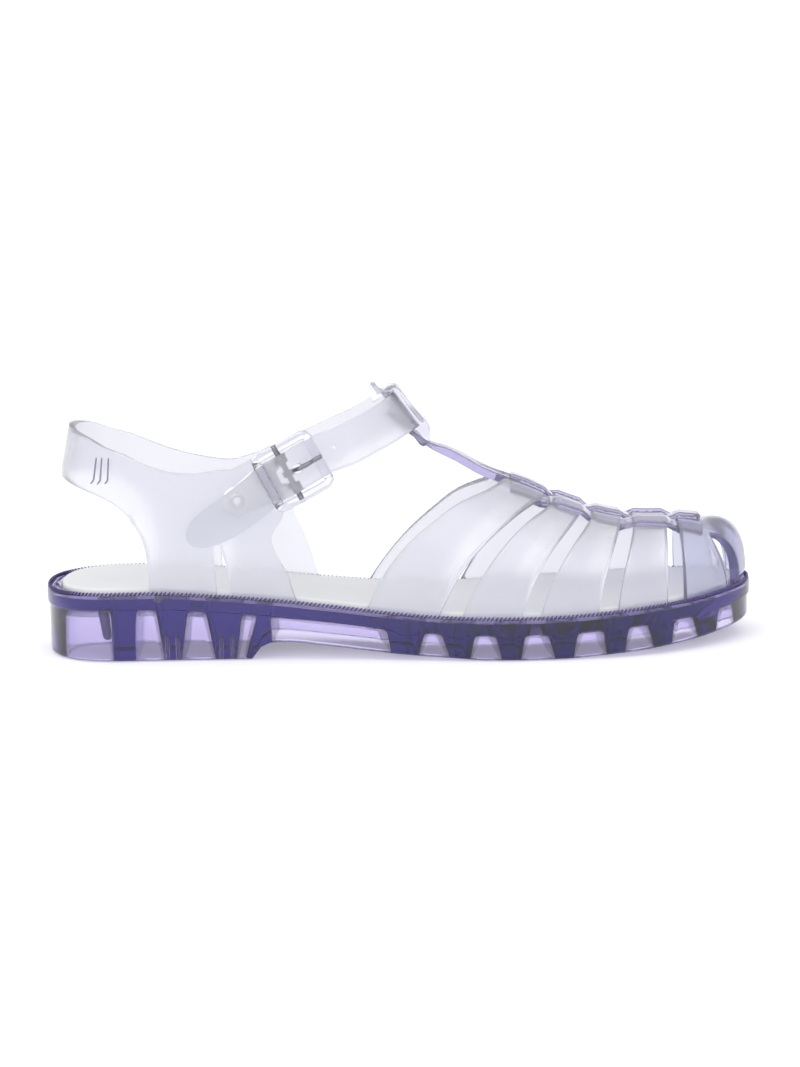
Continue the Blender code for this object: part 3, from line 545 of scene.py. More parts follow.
@dataclass(frozen=True)
class PaleFloor:
    """Matt pale floor whose own colour glows a little: painted light that stands in for a lamp below it and fills the
    shade under the shoe.
    """

    name: str = "glowing_pale_floor"
    colour: str = "#f4f4f5"
    glow: float = 0.3

    def make(self) -> bpy.types.Material:
        """Build the material.

        Returns:
            The material.
        """
        made, tree, out = new_material(self.name)
        # the emission is painted light: the floor glows though no lamp is under it
        shader = add_node(tree, "BsdfPrincipled", {
            "Base Color": linear(self.colour), "Roughness": 0.9, "Specular IOR Level": 0.2,
            "Emission Color": linear(self.colour), "Emission Strength": self.glow})
        tree.links.new(shader.outputs["BSDF"], out.inputs["Surface"])
        return made


@dataclass
class Finishes:
    """The shoe's materials."""

    # thin straps: milky, so that what lies behind them shows blurred
    satin: bpy.types.Material = field(default_factory=lambda: ClearPvc(
        "satin_moulded_pvc", "#f2f3f7", 0.155, density=23.0, roughness=0.2).make())
    # the thick toe: the same plastic, violet with depth
    toe: bpy.types.Material = field(default_factory=lambda: ClearPvc(
        "thick_toe_pvc", "#eceef6", 0.13, density=70.0, roughness=0.12).make())
    # rim, woven strips and instep strap: glossy, with violet along their edges
    clear: bpy.types.Material = field(default_factory=lambda: ClearPvc(
        "polished_moulded_pvc", "#e9e8f2", 0.07, density=62.0).make())
    # buckle frame and loop: almost colourless, seen by its highlights
    crystal: bpy.types.Material = field(default_factory=lambda: ClearPvc(
        "crystal_buckle_pvc", "#f0f0f6", 0.07, density=14.0, roughness=0.04).make())
    # fine ribs, whose refraction would be too small to show: their shade is painted in as grey lines
    ridge: bpy.types.Material = field(default_factory=lambda: ClearPvc(
        "shaded_ridge_pvc", "#a09fb4", 0.5, density=60.0).make())
    # the sole: pale in its hollows and deep purple in its ribs and band
    lilac: bpy.types.Material = field(default_factory=lambda: ClearPvc(
        "lilac_sole_pvc", "#e8e3f6", 0.018, absorbed="#7a50cc", density=72.0, shadow="#f4f1fc", specular=0.3).make())
    # beads and peg: painted dark, a painted shade standing in for the light that such small clear rounds catch inside
    # them
    welt: bpy.types.Material = field(default_factory=lambda: ClearPvc(
        "painted_dark_welt_pvc", "#56498a", 0.7, density=160.0).make())
    cloth: bpy.types.Material = field(default_factory=lambda: SockCloth().make())
    steel: bpy.types.Material = field(default_factory=lambda: PlatedSteel().make())
    # pin, knuckles and prong: the plate's steel painted darker, a painted reflection and shade of their small rounds
    wire: bpy.types.Material = field(default_factory=lambda: PlatedSteel(
        "painted_dark_steel", "#8b8a92", 0.1, 0.3).make())


# ---- the last and the sole's lines --------------------------------------------------------------------------------


class SoleRow(NamedTuple):
    """Shares of the length, of the ball's width (middle and half) and of the heel's height (rim and underside)."""

    along: float
    centre: float
    half: float
    rim: float
    under: float


class RidgeRow(NamedTuple):
    """Shares of the length, the instep's height and the ball's width, and the fullness of the section."""

    along: float
    height: float
    side: float
    fullness: float


SOLE_ROWS = (
    SoleRow(0.000, -0.0015, 0.352, 0.985, 0.000), SoleRow(0.150, -0.0045, 0.352, 1.000, 0.000),
    SoleRow(0.240, -0.0135, 0.346, 0.945, 0.000), SoleRow(0.292, -0.0215, 0.340, 0.900, 0.000),
    SoleRow(0.312, -0.0255, 0.337, 0.880, 0.236), SoleRow(0.340, -0.0315, 0.335, 0.850, 0.247),
    SoleRow(0.400, -0.0435, 0.342, 0.780, 0.187), SoleRow(0.500, -0.0475, 0.388, 0.668, 0.077),
    SoleRow(0.570, -0.0365, 0.434, 0.620, 0.030), SoleRow(0.625, -0.0265, 0.472, 0.609, 0.000),
    SoleRow(0.690, -0.0075, 0.500, 0.609, 0.000), SoleRow(0.730, 0.0035, 0.503, 0.617, 0.004),
    SoleRow(0.790, 0.0125, 0.487, 0.648, 0.035), SoleRow(0.850, 0.0245, 0.458, 0.690, 0.080),
    SoleRow(0.920, 0.0465, 0.418, 0.740, 0.150), SoleRow(1.000, 0.0615, 0.370, 0.845, 0.275),
)
RIDGE_ROWS = (
    RidgeRow(0.440, 1.075, 0.0265, 1.95), RidgeRow(0.501, 0.882, 0.0365, 1.95), RidgeRow(0.550, 0.773, 0.0415, 1.95),
    RidgeRow(0.583, 0.722, 0.0445, 2.00), RidgeRow(0.620, 0.660, 0.0485, 2.05), RidgeRow(0.648, 0.626, 0.0505, 2.10),
    RidgeRow(0.680, 0.592, 0.0525, 2.15), RidgeRow(0.707, 0.556, 0.0545, 2.20), RidgeRow(0.735, 0.522, 0.0565, 2.20),
    RidgeRow(0.773, 0.484, 0.0605, 2.25), RidgeRow(0.813, 0.457, 0.0645, 2.30), RidgeRow(0.852, 0.446, 0.0665, 2.35),
    RidgeRow(0.891, 0.444, 0.0665, 2.50), RidgeRow(0.935, 0.432, 0.0645, 2.70),
)


@dataclass
class Form:
    """The sole's outline and heights, and the last above it."""

    length: float = 256.58
    ball_width: float = 90.78
    heel_height: float = 24.2
    lip_width: float = 2.6
    lip_rise: float = 1.6
    plate: float = 3.8
    skin: float = 2.3
    side_step: float = 0.8
    band: float = 5.2
    clearance: float = 0.3
    instep_height: float = 93.0
    wall: float = 2.0
    rim_wall: float = 2.4
    heel_round: tuple[float, float] = (0.108, 2.25)
    toe_round: tuple[float, float] = (0.175, 2.15)
    fan_start: float = 0.935
    overhang: float = 0.05
    steps: int = 110
    lines: dict[tuple[Side, float], tuple[list[float], list[float]]] = field(default_factory=dict)

    def __post_init__(self) -> None:
        """Make the curves of the tables."""
        self.centre, self.half, self.rim, self.under = (
            Curve.column(SOLE_ROWS, name) for name in ("centre", "half", "rim", "under"))
        self.ridge_height, self.ridge_side, self.fullness = (
            Curve.column(RIDGE_ROWS, name) for name in ("height", "side", "fullness"))
        self.rim_inset = self.lip_width + self.clearance
        self.last_inset = self.rim_inset + self.wall + (self.rim_wall - self.wall) / 2

    def x_of(self, along: float) -> float:
        """X of a share of the length."""
        return (along - 0.5) * self.length

    def along_of(self, x: float) -> float:
        """Share of the length at x."""
        return clamp(x / self.length + 0.5)

    def rim_height(self, x: float) -> float:
        """Height of the sole's rim."""
        return self.heel_height * self.rim.at(self.along_of(x))

    def floor_height(self, x: float) -> float:
        """Height of the sole's underside."""
        return self.heel_height * self.under.at(self.along_of(x))

    def plate_height(self, x: float) -> float:
        """Height of the plate inside the lip."""
        return self.rim_height(x) - self.lip_rise

    def end_round(self, along: float) -> float:
        """Share of the table's width that is left near the round ends.

        Args:
            along: Share of the length.

        Returns:
            A share from 0 at the very end to 1.
        """
        reach, power = self.heel_round if along < 0.5 else self.toe_round
        near = min(along, 1 - along)
        return 1.0 if near >= reach else max(1 - (1 - near / reach) ** power, 0.0) ** (1 / power)

    def edge(self, along: float, side: Side) -> Vector:
        """Point of the outline.

        Args:
            along: Share of the length.
            side: Side of the shoe.

        Returns:
            The point, with no height.
        """
        half = self.half.at(along) * self.end_round(along)
        return Vector((self.x_of(along), self.ball_width * (self.centre.at(along) + side.value * half), 0.0))

    def stations(self) -> list[float]:
        """Shares of the length, close together at the round ends.

        Returns:
            The shares from heel to toe.
        """
        return [0.5 - 0.5 * math.cos(math.pi * i / self.steps) for i in range(self.steps + 1)]

    def line(self, side: Side, inset: float) -> tuple[list[float], list[float]]:
        """One side of the outline, moved in.

        Args:
            side: Side of the shoe.
            inset: Distance that it moves in.

        Returns:
            Lists of x and y from the heel to the toe.
        """
        key = (side, round(inset, 3))
        if key not in self.lines:
            shares = self.stations()
            other = Side(-side.value)
            points = [self.edge(s, side) for s in shares]
            chain = [self.edge(shares[1], other), *points, self.edge(shares[-2], other)]
            moved = []
            for before, point, after in zip(chain, points, chain[2:]):
                run = (after - before).normalized()
                moved.append(point + Vector((-run.y, run.x, 0)) * inset * -side.value)
            self.lines[key] = ([p.x for p in moved], [p.y for p in moved])
        return self.lines[key]

    def inset_y(self, x: float, side: Side, inset: float) -> float:
        """Y of the outline moved in.

        Args:
            x: Place along the shoe.
            side: Side of the shoe.
            inset: Distance that it moves in.

        Returns:
            The y there.
        """
        xs, ys = self.line(side, inset)
        if x <= xs[0]:
            return ys[0]
        if x >= xs[-1]:
            return ys[-1]
        i = bisect_right(xs, x) - 1
        return ys[i] + (ys[i + 1] - ys[i]) * (x - xs[i]) / max(xs[i + 1] - xs[i], 1e-9)

    def ring(self, inset: float, height: Callable[[float], float]) -> list[Vector]:
        """The whole outline moved in, at a height.

        Args:
            inset: Distance that it moves in.
            height: Height at each x.

        Returns:
            Points on the lateral side to the toe, and back on the medial side.
        """
        points = list(zip(*self.line(Side.LATERAL, inset)))
        points += list(zip(*self.line(Side.MEDIAL, inset)))[-2:0:-1]
        return [Vector((x, y, height(x))) for x, y in points]

    def last_point(self, along: float, rise: float, side: Side) -> Vector:
        """A point of the last.

        Args:
            along: Share of the length at the rim.
            rise: 0 at the rim to 1 at the ridge.
            side: Side of the shoe.

        Returns:
            The point.
        """
        x_rim, x_top = self.x_of(along), self.x_of(min(along, self.fan_start))
        top = self.along_of(x_top)
        power = 2 / self.fullness.at(top)
        angle = clamp(rise) * math.pi / 2
        out = math.cos(angle) ** power * (1 + self.overhang * math.sin(2 * angle) ** 2) if rise < 1 else 0.0
        up = math.sin(angle) ** power
        y_rim = self.inset_y(x_rim, side, self.last_inset)
        y_top = self.ball_width * self.ridge_side.at(top)
        low = self.plate_height(x_rim) + 2 * self.clearance
        high = self.instep_height * self.ridge_height.at(top)
        return Vector((x_top + (x_rim - x_top) * out, y_top + (y_rim - y_top) * out, low + (high - low) * up))

    def last_normal(self, along: float, rise: float, side: Side) -> Vector:
        """Outward direction of the last at a point.

        Args:
            along: Share of the length at the rim.
            rise: 0 at the rim to 1 at the ridge.
            side: Side of the shoe.

        Returns:
            A unit vector.
        """
        step = 0.004
        here = self.last_point(along, rise, side)
        ahead = self.last_point(along + step, rise, side) - self.last_point(along - step, rise, side)
        above = self.last_point(along, min(rise + step, 1), side) - self.last_point(along, max(rise - step, 0), side)
        out = ahead.cross(above)
        if rise >= 0.999 or out.length < 1e-9:
            out = ahead.cross(Vector((0, 1, 0)))
        inner = Vector((here.x, self.ball_width * self.ridge_side.at(along), self.rim_height(here.x)))
        return out.normalized() if out.dot(here - inner) > 0 else -out.normalized()

    def beside_ridge(self, along: float, distance: float) -> tuple[float, Side]:
        """Rise and side of the point of the last that lies a distance beside the ridge.

        Args:
            along: Share of the length.
            distance: Distance in y, minus on the lateral side.

        Returns:
            The rise and the side.
        """
        side = Side.LATERAL if distance < 0 else Side.MEDIAL
        y_rim = self.inset_y(self.x_of(along), side, self.last_inset)
        share = min(abs(distance) / abs(y_rim - self.ball_width * self.ridge_side.at(along)), 1.0)
        return math.acos(share ** (self.fullness.at(along) / 2)) / (math.pi / 2), side

    def on_last(self, along: float, distance: float, lift: float) -> Vector:
        """A point beside the ridge, off the last.

        Args:
            along: Share of the length.
            distance: Distance in y from the ridge.
            lift: Distance off the last.

        Returns:
            The point.
        """
        rise, side = self.beside_ridge(along, distance)
        return self.last_point(along, rise, side) + self.last_normal(along, rise, side) * lift


# ---- sole --------------------------------------------------------------------------------------------------------


class Window(NamedTuple):
    """A hollow between two cross ribs: shares of the length at the plate and at the floor."""

    rear_top: float
    front_top: float
    rear_foot: float
    front_foot: float


WINDOWS = (
    Window(0.030, 0.098, 0.030, 0.100), Window(0.130, 0.161, 0.128, 0.173), Window(0.202, 0.231, 0.191, 0.245),
    Window(0.278, 0.302, 0.268, 0.281), Window(0.318, 0.484, 0.320, 0.492), Window(0.533, 0.560, 0.522, 0.575),
    Window(0.603, 0.635, 0.594, 0.646), Window(0.672, 0.707, 0.664, 0.720), Window(0.745, 0.784, 0.736, 0.789),
    Window(0.816, 0.847, 0.808, 0.858), Window(0.880, 0.911, 0.874, 0.921), Window(0.944, 0.970, 0.938, 0.972),
)


@dataclass
class Outsole:
    """Clear sole: lip, wavy band, skin, cross ribs, a moulded peg and the beaded welt."""

    form: Form
    look: bpy.types.Material
    welt: bpy.types.Material
    round_top: float = 0.9
    round_foot: float = 1.6
    wave: float = 2.0
    roof_round: float = 0.9
    corner: float = 1.4
    corner_deep: tuple[float, float, float] = (1.1, 0.35, 0.0)
    under_floor: float = 3.0
    bead_radius: float = 0.88
    bead_pitch: float = 1.5
    bead_slant: float = math.radians(38)
    bead_shape: tuple[float, float, float, float] = (0.42, 0.9, 1.3, 1.0)
    bead_lift: float = 0.4
    peg: tuple[float, float, float, float] = (-105.6, 6.5, 7.5, 1.9)
    peg_lean: float = 0.6
    peg_root: float = 1.15
    let_in: float = 0.3
    fluted: tuple[tuple[float, float], ...] = ((-81.8, 1.9), (-62.2, 2.0))
    flute_deep: float = 5.5
    flute_radius: float = 1.0
    flute_top: float = 9.0

    def band_low(self, x: float) -> float:
        """Lower edge of the rim's band, which dips at each forefoot rib.

        Args:
            x: Place along the shoe.

        Returns:
            The height.
        """
        along = self.form.along_of(x)
        dip = 0.0
        for before, after in zip(WINDOWS[4:], WINDOWS[5:]):
            middle = (before.front_top + after.rear_top) / 2
            half = (after.rear_top - before.front_top) / 2
            dip = max(dip, 1 - ease(abs(along - middle) / (half * 1.25)))
        return self.form.rim_height(x) - self.form.band - self.wave * dip

    def levels(self) -> list[list[Vector]]:
        """Rings of the sole's outside, from the underside up and over the lip to the plate.

        Returns:
            The rings.
        """
        form = self.form
        rings = []
        for k in range(5):
            turn = math.pi / 2 * k / 4
            inset = form.side_step + self.round_foot * (1 - math.sin(turn))
            rings.append(form.ring(inset, lambda x, r=self.round_foot * (1 - math.cos(turn)):
                                   form.floor_height(x) + r))
        rings.append(form.ring(form.side_step, lambda x: self.band_low(x) - 0.5))
        rings.append(form.ring(form.side_step * 0.8, lambda x: self.band_low(x) - 0.12))
        rings.append(form.ring(form.side_step * 0.35, self.band_low))
        rings.append(form.ring(form.side_step * 0.08, lambda x: self.band_low(x) + 0.15))
        rings.append(form.ring(0.0, lambda x: self.band_low(x) + 0.5))
        for k in range(5):
            turn = math.pi / 2 * k / 4
            rings.append(form.ring(self.round_top * (1 - math.cos(turn)), lambda x, r=self.round_top *
                                   (1 - math.sin(turn)): form.rim_height(x) - r))
        rings.append(form.ring(form.lip_width - 0.3, form.rim_height))
        rings.append(form.ring(form.lip_width, lambda x: form.rim_height(x) - 0.3))
        rings.append(form.ring(form.lip_width, form.plate_height))
        return rings

    def cap(self, bm: bmesh.types.BMesh, ring: Sequence[Vector], across: int = 4) -> None:
        """Close a ring of the outline with a sheet from side to side.

        Args:
            bm: Mesh that takes it.
            ring: The ring's points.
            across: Faces from side to side.
        """
        steps = self.form.steps

        def place(u: float, v: float) -> Vector:
            """Point between the two sides."""
            i = round(u * steps)
            return ring[i].lerp(ring[-i % len(ring)], v)

        add_grid(bm, steps, across, place)

    def window(self, index: int, hollow: Window) -> bpy.types.Object:
        """Cutter of one hollow, with round corners.

        Args:
            index: Number of the hollow.
            hollow: Its place.

        Returns:
            The cutter.
        """
        form = self.form
        inset = form.skin + form.side_step
        spans = 12 if hollow.front_top - hollow.rear_top > 0.05 else 5
        levels = ((0.0, 0.0), (0.5, 0.0), (0.86, 0.0), (0.96, 0.3), (1.0, 1.0))

        def ring(level: float, tuck: float) -> list[Vector]:
            """Ring of the cutter at a level."""
            rear = hollow.rear_foot + (hollow.rear_top - hollow.rear_foot) * level
            front = hollow.front_foot + (hollow.front_top - hollow.front_foot) * level
            pull = tuck * self.roof_round / form.length
            rear, front = rear + pull, front - pull
            corner = min(self.corner / form.length, (front - rear) / 4)
            shares = [rear, rear + corner * 0.3, rear + corner]
            shares += [rear + corner + (front - rear - 2 * corner) * k / spans for k in range(1, spans)]
            shares += [front - corner, front - corner * 0.3, front]
            deep = [*self.corner_deep, *[0.0] * (spans - 1), *self.corner_deep[::-1]]
            points = []
            for side in Side:
                line = []
                for share, more in zip(shares, deep):
                    x = form.x_of(share)
                    y = form.inset_y(x, side, inset + tuck * self.roof_round) - side.value * more
                    low = form.floor_height(x) - self.under_floor
                    high = form.plate_height(x) - form.plate
                    line.append(Vector((x, y, low + (high - low) * level)))
                points += line if side is Side.LATERAL else line[::-1]
            return points

        bm = bmesh.new()
        add_tube(bm, [ring(*level) for level in levels])
        return tool_object(f"hollow_{index}", bm)

    def build_peg(self) -> bpy.types.Object:
        """Build the round-ended peg that hangs in the rearmost hollow.

        Returns:
            The peg, whose top is let into the plate above it.
        """
        x, deep, low, radius = self.peg
        y = self.form.inset_y(x, Side.LATERAL, deep)
        top = self.form.plate_height(x) - self.form.plate + self.let_in
        path, radii = [Vector((x - self.peg_lean, y, top))], [radius * self.peg_root]
        for k in range(6):
            turn = math.pi / 2 * k / 5
            path.append(Vector((x + self.peg_lean, y, low + radius * (1 - math.sin(turn)))))
            radii.append(max(radius * math.cos(turn), 0.05))
        bm = bmesh.new()
        add_round(bm, path, radii, 18)
        # the peg takes the welt's painted dark shade
        return solid("heel_peg", bm, self.welt, Slot.LILAC)

    def build(self) -> list[bpy.types.Object]:
        """Build the sole's pieces.

        Returns:
            The pieces.
        """
        bm = bmesh.new()
        rings = self.levels()
        count, steps = len(rings[0]), len(rings) - 1
        add_grid(bm, count, steps, lambda u, v: rings[round(v * steps)][round(u * count) % count].copy())
        self.cap(bm, rings[0])
        self.cap(bm, rings[-1])
        weld(bm, 0.02)
        sole = finish("clear_outsole", bm, self.look, Slot.LILAC)
        cutters = [self.window(i, hollow) for i, hollow in enumerate(WINDOWS)] + self.flutes()
        for cutter in cutters:
            cut(sole, cutter)
        settle(sole, 32.0)
        drop(cutters)
        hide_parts("outsole")
        return [sole, self.build_peg(), self.build_welt()]

    def flutes(self) -> list[bpy.types.Object]:
        """Make the cutters of the round flutes that run up into two heel ribs.

        Returns:
            The cutters.
        """
        made = []
        for x, gap in self.fluted:
            for sign in (-1, 1):
                bm = bmesh.new()
                place = Vector((x + sign * gap, self.form.inset_y(x, Side.LATERAL, self.flute_deep), 0.0))
                path = [place - Vector((0, 0, 1.5))]
                radii = [self.flute_radius]
                for k in range(5):
                    turn = math.pi / 2 * k / 4
                    path.append(place + Vector((0, 0, self.flute_top - self.flute_radius * (1 - math.sin(turn)))))
                    radii.append(max(self.flute_radius * math.cos(turn), 0.05))
                add_round(bm, path, radii, 12)
                made.append(tool_object(f"flute_{len(made)}", bm))
        return made

    def build_welt(self) -> bpy.types.Object:
        """Build the row of fine beads on the lip.

        Returns:
            The welt.
        """
        ring = self.form.ring(self.bead_radius + 0.1, lambda x: self.form.rim_height(x) + self.bead_lift)
        bm = bmesh.new()
        reach = 0.0
        for before, after in zip(ring, ring[1:] + ring[:1]):
            run = after - before
            while reach < run.length:
                centre = before + run * (reach / run.length)
                turn = run.to_track_quat("X", "Z").to_matrix().to_4x4()
                shape = Matrix.Translation(centre) @ turn @ Matrix.Rotation(self.bead_slant, 4, "Y") \
                    @ Matrix.Diagonal(self.bead_shape)
                bmesh.ops.create_icosphere(bm, subdivisions=1, radius=self.bead_radius, matrix=shape)
                reach += self.bead_pitch
            reach -= run.length
        # the beads are painted dark: painted shade, not a darker plastic
        return finish("beaded_welt", bm, self.welt, Slot.LILAC)


@dataclass
class Insole:
    """Cushioned sock that lies inside the upper's rim."""

    form: Form
    look: bpy.types.Material
    thick: float = 3.4
    soft: float = 1.3
    crown: float = 0.25

    def build(self) -> bpy.types.Object:
        """Build the insole.

        Returns:
            The piece.
        """
        form = self.form
        inset = form.rim_inset + form.rim_wall + form.clearance
        rings = [form.ring(inset, lambda x: form.plate_height(x) + form.clearance)]
        for k in range(6):
            turn = math.pi / 2 * k / 5
            rings.append(form.ring(inset + self.soft * (1 - math.cos(turn)), lambda x, r=self.soft *
                                   (1 - math.sin(turn)): form.plate_height(x) + self.thick - r))
        bm = bmesh.new()
        count, steps = len(rings[0]), len(rings) - 1
        add_grid(bm, count, steps, lambda u, v: rings[round(v * steps)][round(u * count) % count].copy())
        for ring, swell in ((rings[0], 0.0), (rings[-1], self.crown)):
            def place(u: float, v: float, ring: list[Vector] = ring, swell: float = swell) -> Vector:
                """Point between the two sides, crowned."""
                i = round(u * form.steps)
                point = ring[i].lerp(ring[-i % len(ring)], v)
                point.z += swell * math.sin(math.pi * v) * math.sin(math.pi * clamp(u, 0.02, 0.98))
                return point
            add_grid(bm, form.steps, 10, place)
        weld(bm, 0.02)
        made = finish("cushioned_insole", bm, self.look, Slot.CLOTH)
        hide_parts("insole")
        return made


# ---- upper -------------------------------------------------------------------------------------------------------


class Strap(NamedTuple):
    """Edges of a vamp strap at the rim and at the ridge, as shares of the length."""

    rear_rim: float
    front_rim: float
    rear_top: float
    front_top: float


STRAPS = (
    Strap(0.453, 0.554, 0.652, 0.707), Strap(0.586, 0.669, 0.722, 0.760), Strap(0.695, 0.775, 0.776, 0.816),
    Strap(0.803, 0.872, 0.834, 0.880), Strap(0.898, 0.958, 0.896, 0.933),
)


@dataclass
class Vamp:
    """Five cross straps, the toe cap and the three lengthwise strips woven through them."""

    form: Form
    look: bpy.types.Material
    toe: bpy.types.Material
    strip: bpy.types.Material
    lateral_bow: float = 0.45
    medial_bow: float = 0.15
    slot_front: float = 0.969
    toe_wall: float = 3.9
    toe_run: float = 9.0
    slot_top: float = 0.62
    flat_front: float = 0.6
    weave: float = 0.55
    strip_width: float = 9.0
    strip_pitch: float = 11.5
    strip_wall: float = 1.9
    edge_round: float = 0.55
    rows: int = 60

    def strap_edge(self, foot: float, top: float, rise: float, side: Side) -> float:
        """Share of the length at which a strap's edge lies.

        Args:
            foot: The share at the rim.
            top: The share at the ridge.
            rise: 0 at the rim to 1 at the ridge.
            side: Side of the shoe, straighter on the medial one.

        Returns:
            The share at that rise.
        """
        bow = self.lateral_bow if side is Side.LATERAL else self.medial_bow
        up = math.sin(rise * math.pi / 2)
        return foot + (top - foot) * ((1 - bow) * up + bow * up * up)

    def dip(self, index: int, distance: float) -> float:
        """How far a cross strap rises or sinks in the weave.

        Args:
            index: Number of the strap from the rear.
            distance: Distance in y from the ridge.

        Returns:
            The lift, in millimetres.
        """
        sign = 1 if index % 2 else -1
        fade = 1 - ease((abs(distance) / self.strip_pitch - 1.1) / 0.5)
        return sign * self.weave * math.cos(math.pi * distance / self.strip_pitch) * fade

    def surface(self, index: int, rear: Callable[[float, Side], float],
                front: Callable[[float, Side], float]) -> Surface:
        """Surface of a strap from rim to rim.

        Args:
            index: Number of the strap.
            rear: Share of the length of its rear edge at a rise.
            front: The same of its front edge.

        Returns:
            The surface, from rear to front and from the lateral to the medial rim.
        """
        def place(u: float, v: float) -> Vector:
            """Point of the strap."""
            side = Side.LATERAL if v <= 0.5 else Side.MEDIAL
            rise = 2 * v if v <= 0.5 else 2 - 2 * v
            along = rear(rise, side) + (front(rise, side) - rear(rise, side)) * u
            point = self.form.last_point(along, rise, side)
            ridge = self.form.ball_width * self.form.ridge_side.at(along)
            lift = self.dip(index, point.y - ridge) if rise > 0.4 and index < len(STRAPS) else 0.0
            if index == len(STRAPS) - 1:  # flat towards its front edge, where the toe cap joins it
                lift *= 1 - ease((u - 1) / self.flat_front + 1)
            return point + self.form.last_normal(along, rise, side) * lift if lift else point
        return place

    def build_strap(self, index: int, strap: Strap) -> bpy.types.Object:
        """Build one cross strap.

        Args:
            index: Its number.
            strap: Its edges.

        Returns:
            The piece.
        """
        bm = bmesh.new()
        add_grid(bm, 10, self.rows, self.surface(
            index, lambda rise, side: self.strap_edge(strap.rear_rim, strap.rear_top, rise, side),
            lambda rise, side: self.strap_edge(strap.front_rim, strap.front_top, rise, side)))
        return self.dress(f"vamp_strap_{index + 1}", bm, self.look, self.form.wall)

    def slot_width(self, rise: float) -> float:
        """Width of the toe slot, a bowed opening that closes at its top.

        Args:
            rise: 0 at the rim to 1 at the ridge.

        Returns:
            The width, as a share of the length.
        """
        if rise >= self.slot_top:
            return 0.0
        share = rise / self.slot_top
        return (self.slot_front - STRAPS[-1].front_rim) * (1 + 1.1 * share) * (1 - share ** 3) ** 0.5

    def build_toe(self) -> bpy.types.Object:
        """Build the foremost strap with the toe cap, and the slot between them.

        Returns:
            The piece.
        """
        strap = STRAPS[-1]
        tip = self.form.along_of(self.form.length / 2 - self.form.last_inset)

        def middle(rise: float, side: Side) -> float:
            """Front edge of the strap."""
            return self.strap_edge(strap.front_rim, strap.front_top, rise, side)

        bm = bmesh.new()
        add_grid(bm, 8, self.rows, self.surface(
            len(STRAPS) - 1, lambda rise, side: self.strap_edge(strap.rear_rim, strap.rear_top, rise, side), middle))
        add_grid(bm, 14, self.rows, self.surface(
            len(STRAPS), lambda rise, side: middle(rise, side) + self.slot_width(rise), lambda rise, side: tip))
        weld(bm, 0.02)
        group = bm.verts.layers.deform.verify()
        thin = self.form.wall / self.toe_wall
        for vert in bm.verts:
            ahead = ease((vert.co.x - self.form.x_of(self.form.fan_start)) / self.toe_run)
            above = ease((vert.co.z - self.form.rim_height(vert.co.x)) / self.toe_run * 2)
            vert[group][0] = thin + (1 - thin) * ahead * above
        return self.dress("toe_cap", bm, self.toe, self.toe_wall)

    def dress(self, name: str, bm: bmesh.types.BMesh, look: bpy.types.Material, thick: float) -> bpy.types.Object:
        """Give a web its direction, wall and round edges.

        Args:
            name: Name of the piece.
            bm: Its mesh.
            look: Its material.
            thick: Its wall.

        Returns:
            The piece.
        """
        bmesh.ops.recalc_face_normals(bm, faces=bm.faces)
        inner = Vector((self.form.x_of(0.75), 0, 20))
        if sum(f.normal.dot(f.calc_center_median() - inner) * f.calc_area() for f in bm.faces) < 0:
            bmesh.ops.reverse_faces(bm, faces=bm.faces)
        made = finish(name, bm, look, Slot.CLEAR)
        if thick > self.form.wall:
            made.vertex_groups.new(name="thick")
        wall(made, thick)
        soften(made, self.edge_round, 3)
        settle(made, 50.0)
        return made

    def strip_lift(self, strip: int, along: float) -> float:
        """Lift of a lengthwise strip: over one strap and under the next.

        Args:
            strip: -1, 0 or 1 from the lateral side.
            along: Share of the length.

        Returns:
            The lift of its underside off the last.
        """
        best = min(range(len(STRAPS)), key=lambda i: abs(along - (STRAPS[i].rear_top + STRAPS[i].front_top) / 2))
        strap = STRAPS[best]
        middle, half = (strap.rear_top + strap.front_top) / 2, (strap.front_top - strap.rear_top) / 2
        away = ease((abs(along - middle) - half * 0.75) / (half * 0.7))
        high = 1 if (best + strip) % 2 == 0 else -1
        return 0.35 + high * (1 - away) * (self.form.wall * 0.5 + 0.35)

    def build_strip(self, strip: int) -> bpy.types.Object:
        """Build one lengthwise strip.

        Args:
            strip: -1, 0 or 1 from the lateral side.

        Returns:
            The piece.
        """
        first, last = STRAPS[0].rear_top + 0.006, self.form.fan_start - 0.006
        half, middle, steps = self.strip_width / 2, strip * self.strip_pitch, 110
        sections = []
        for k in range(steps + 1):
            along = first + (last - first) * k / steps
            lift = self.strip_lift(strip, along)
            across = [middle - half + 2 * half * i / 4 for i in range(5)]
            low = [self.form.on_last(along, y, lift) for y in across]
            high = [self.form.on_last(along, y, lift + self.strip_wall) for y in across]
            sections.append(low + high[::-1])
        bm = bmesh.new()
        add_tube(bm, sections)
        return solid(f"woven_strip_{strip + 2}", bm, self.strip, Slot.CLEAR, edge=(0.5, 2, 40.0))

    def build(self) -> list[bpy.types.Object]:
        """Build the vamp's pieces.

        Returns:
            The pieces.
        """
        made = [self.build_strap(i, strap) for i, strap in enumerate(STRAPS[:-1])]
        made.append(self.build_toe())
        made += [self.build_strip(strip) for strip in (-1, 0, 1)]
        return made


class QuarterRow(NamedTuple):
    """Shares of the length and of the heel's top height, from the rim up."""

    level: float
    rear_x: float
    rear_z: float
    slot_rear_x: float
    slot_front_x: float
    slot_z: float
    front_x: float
    front_z: float
    medial_x: float
    medial_z: float


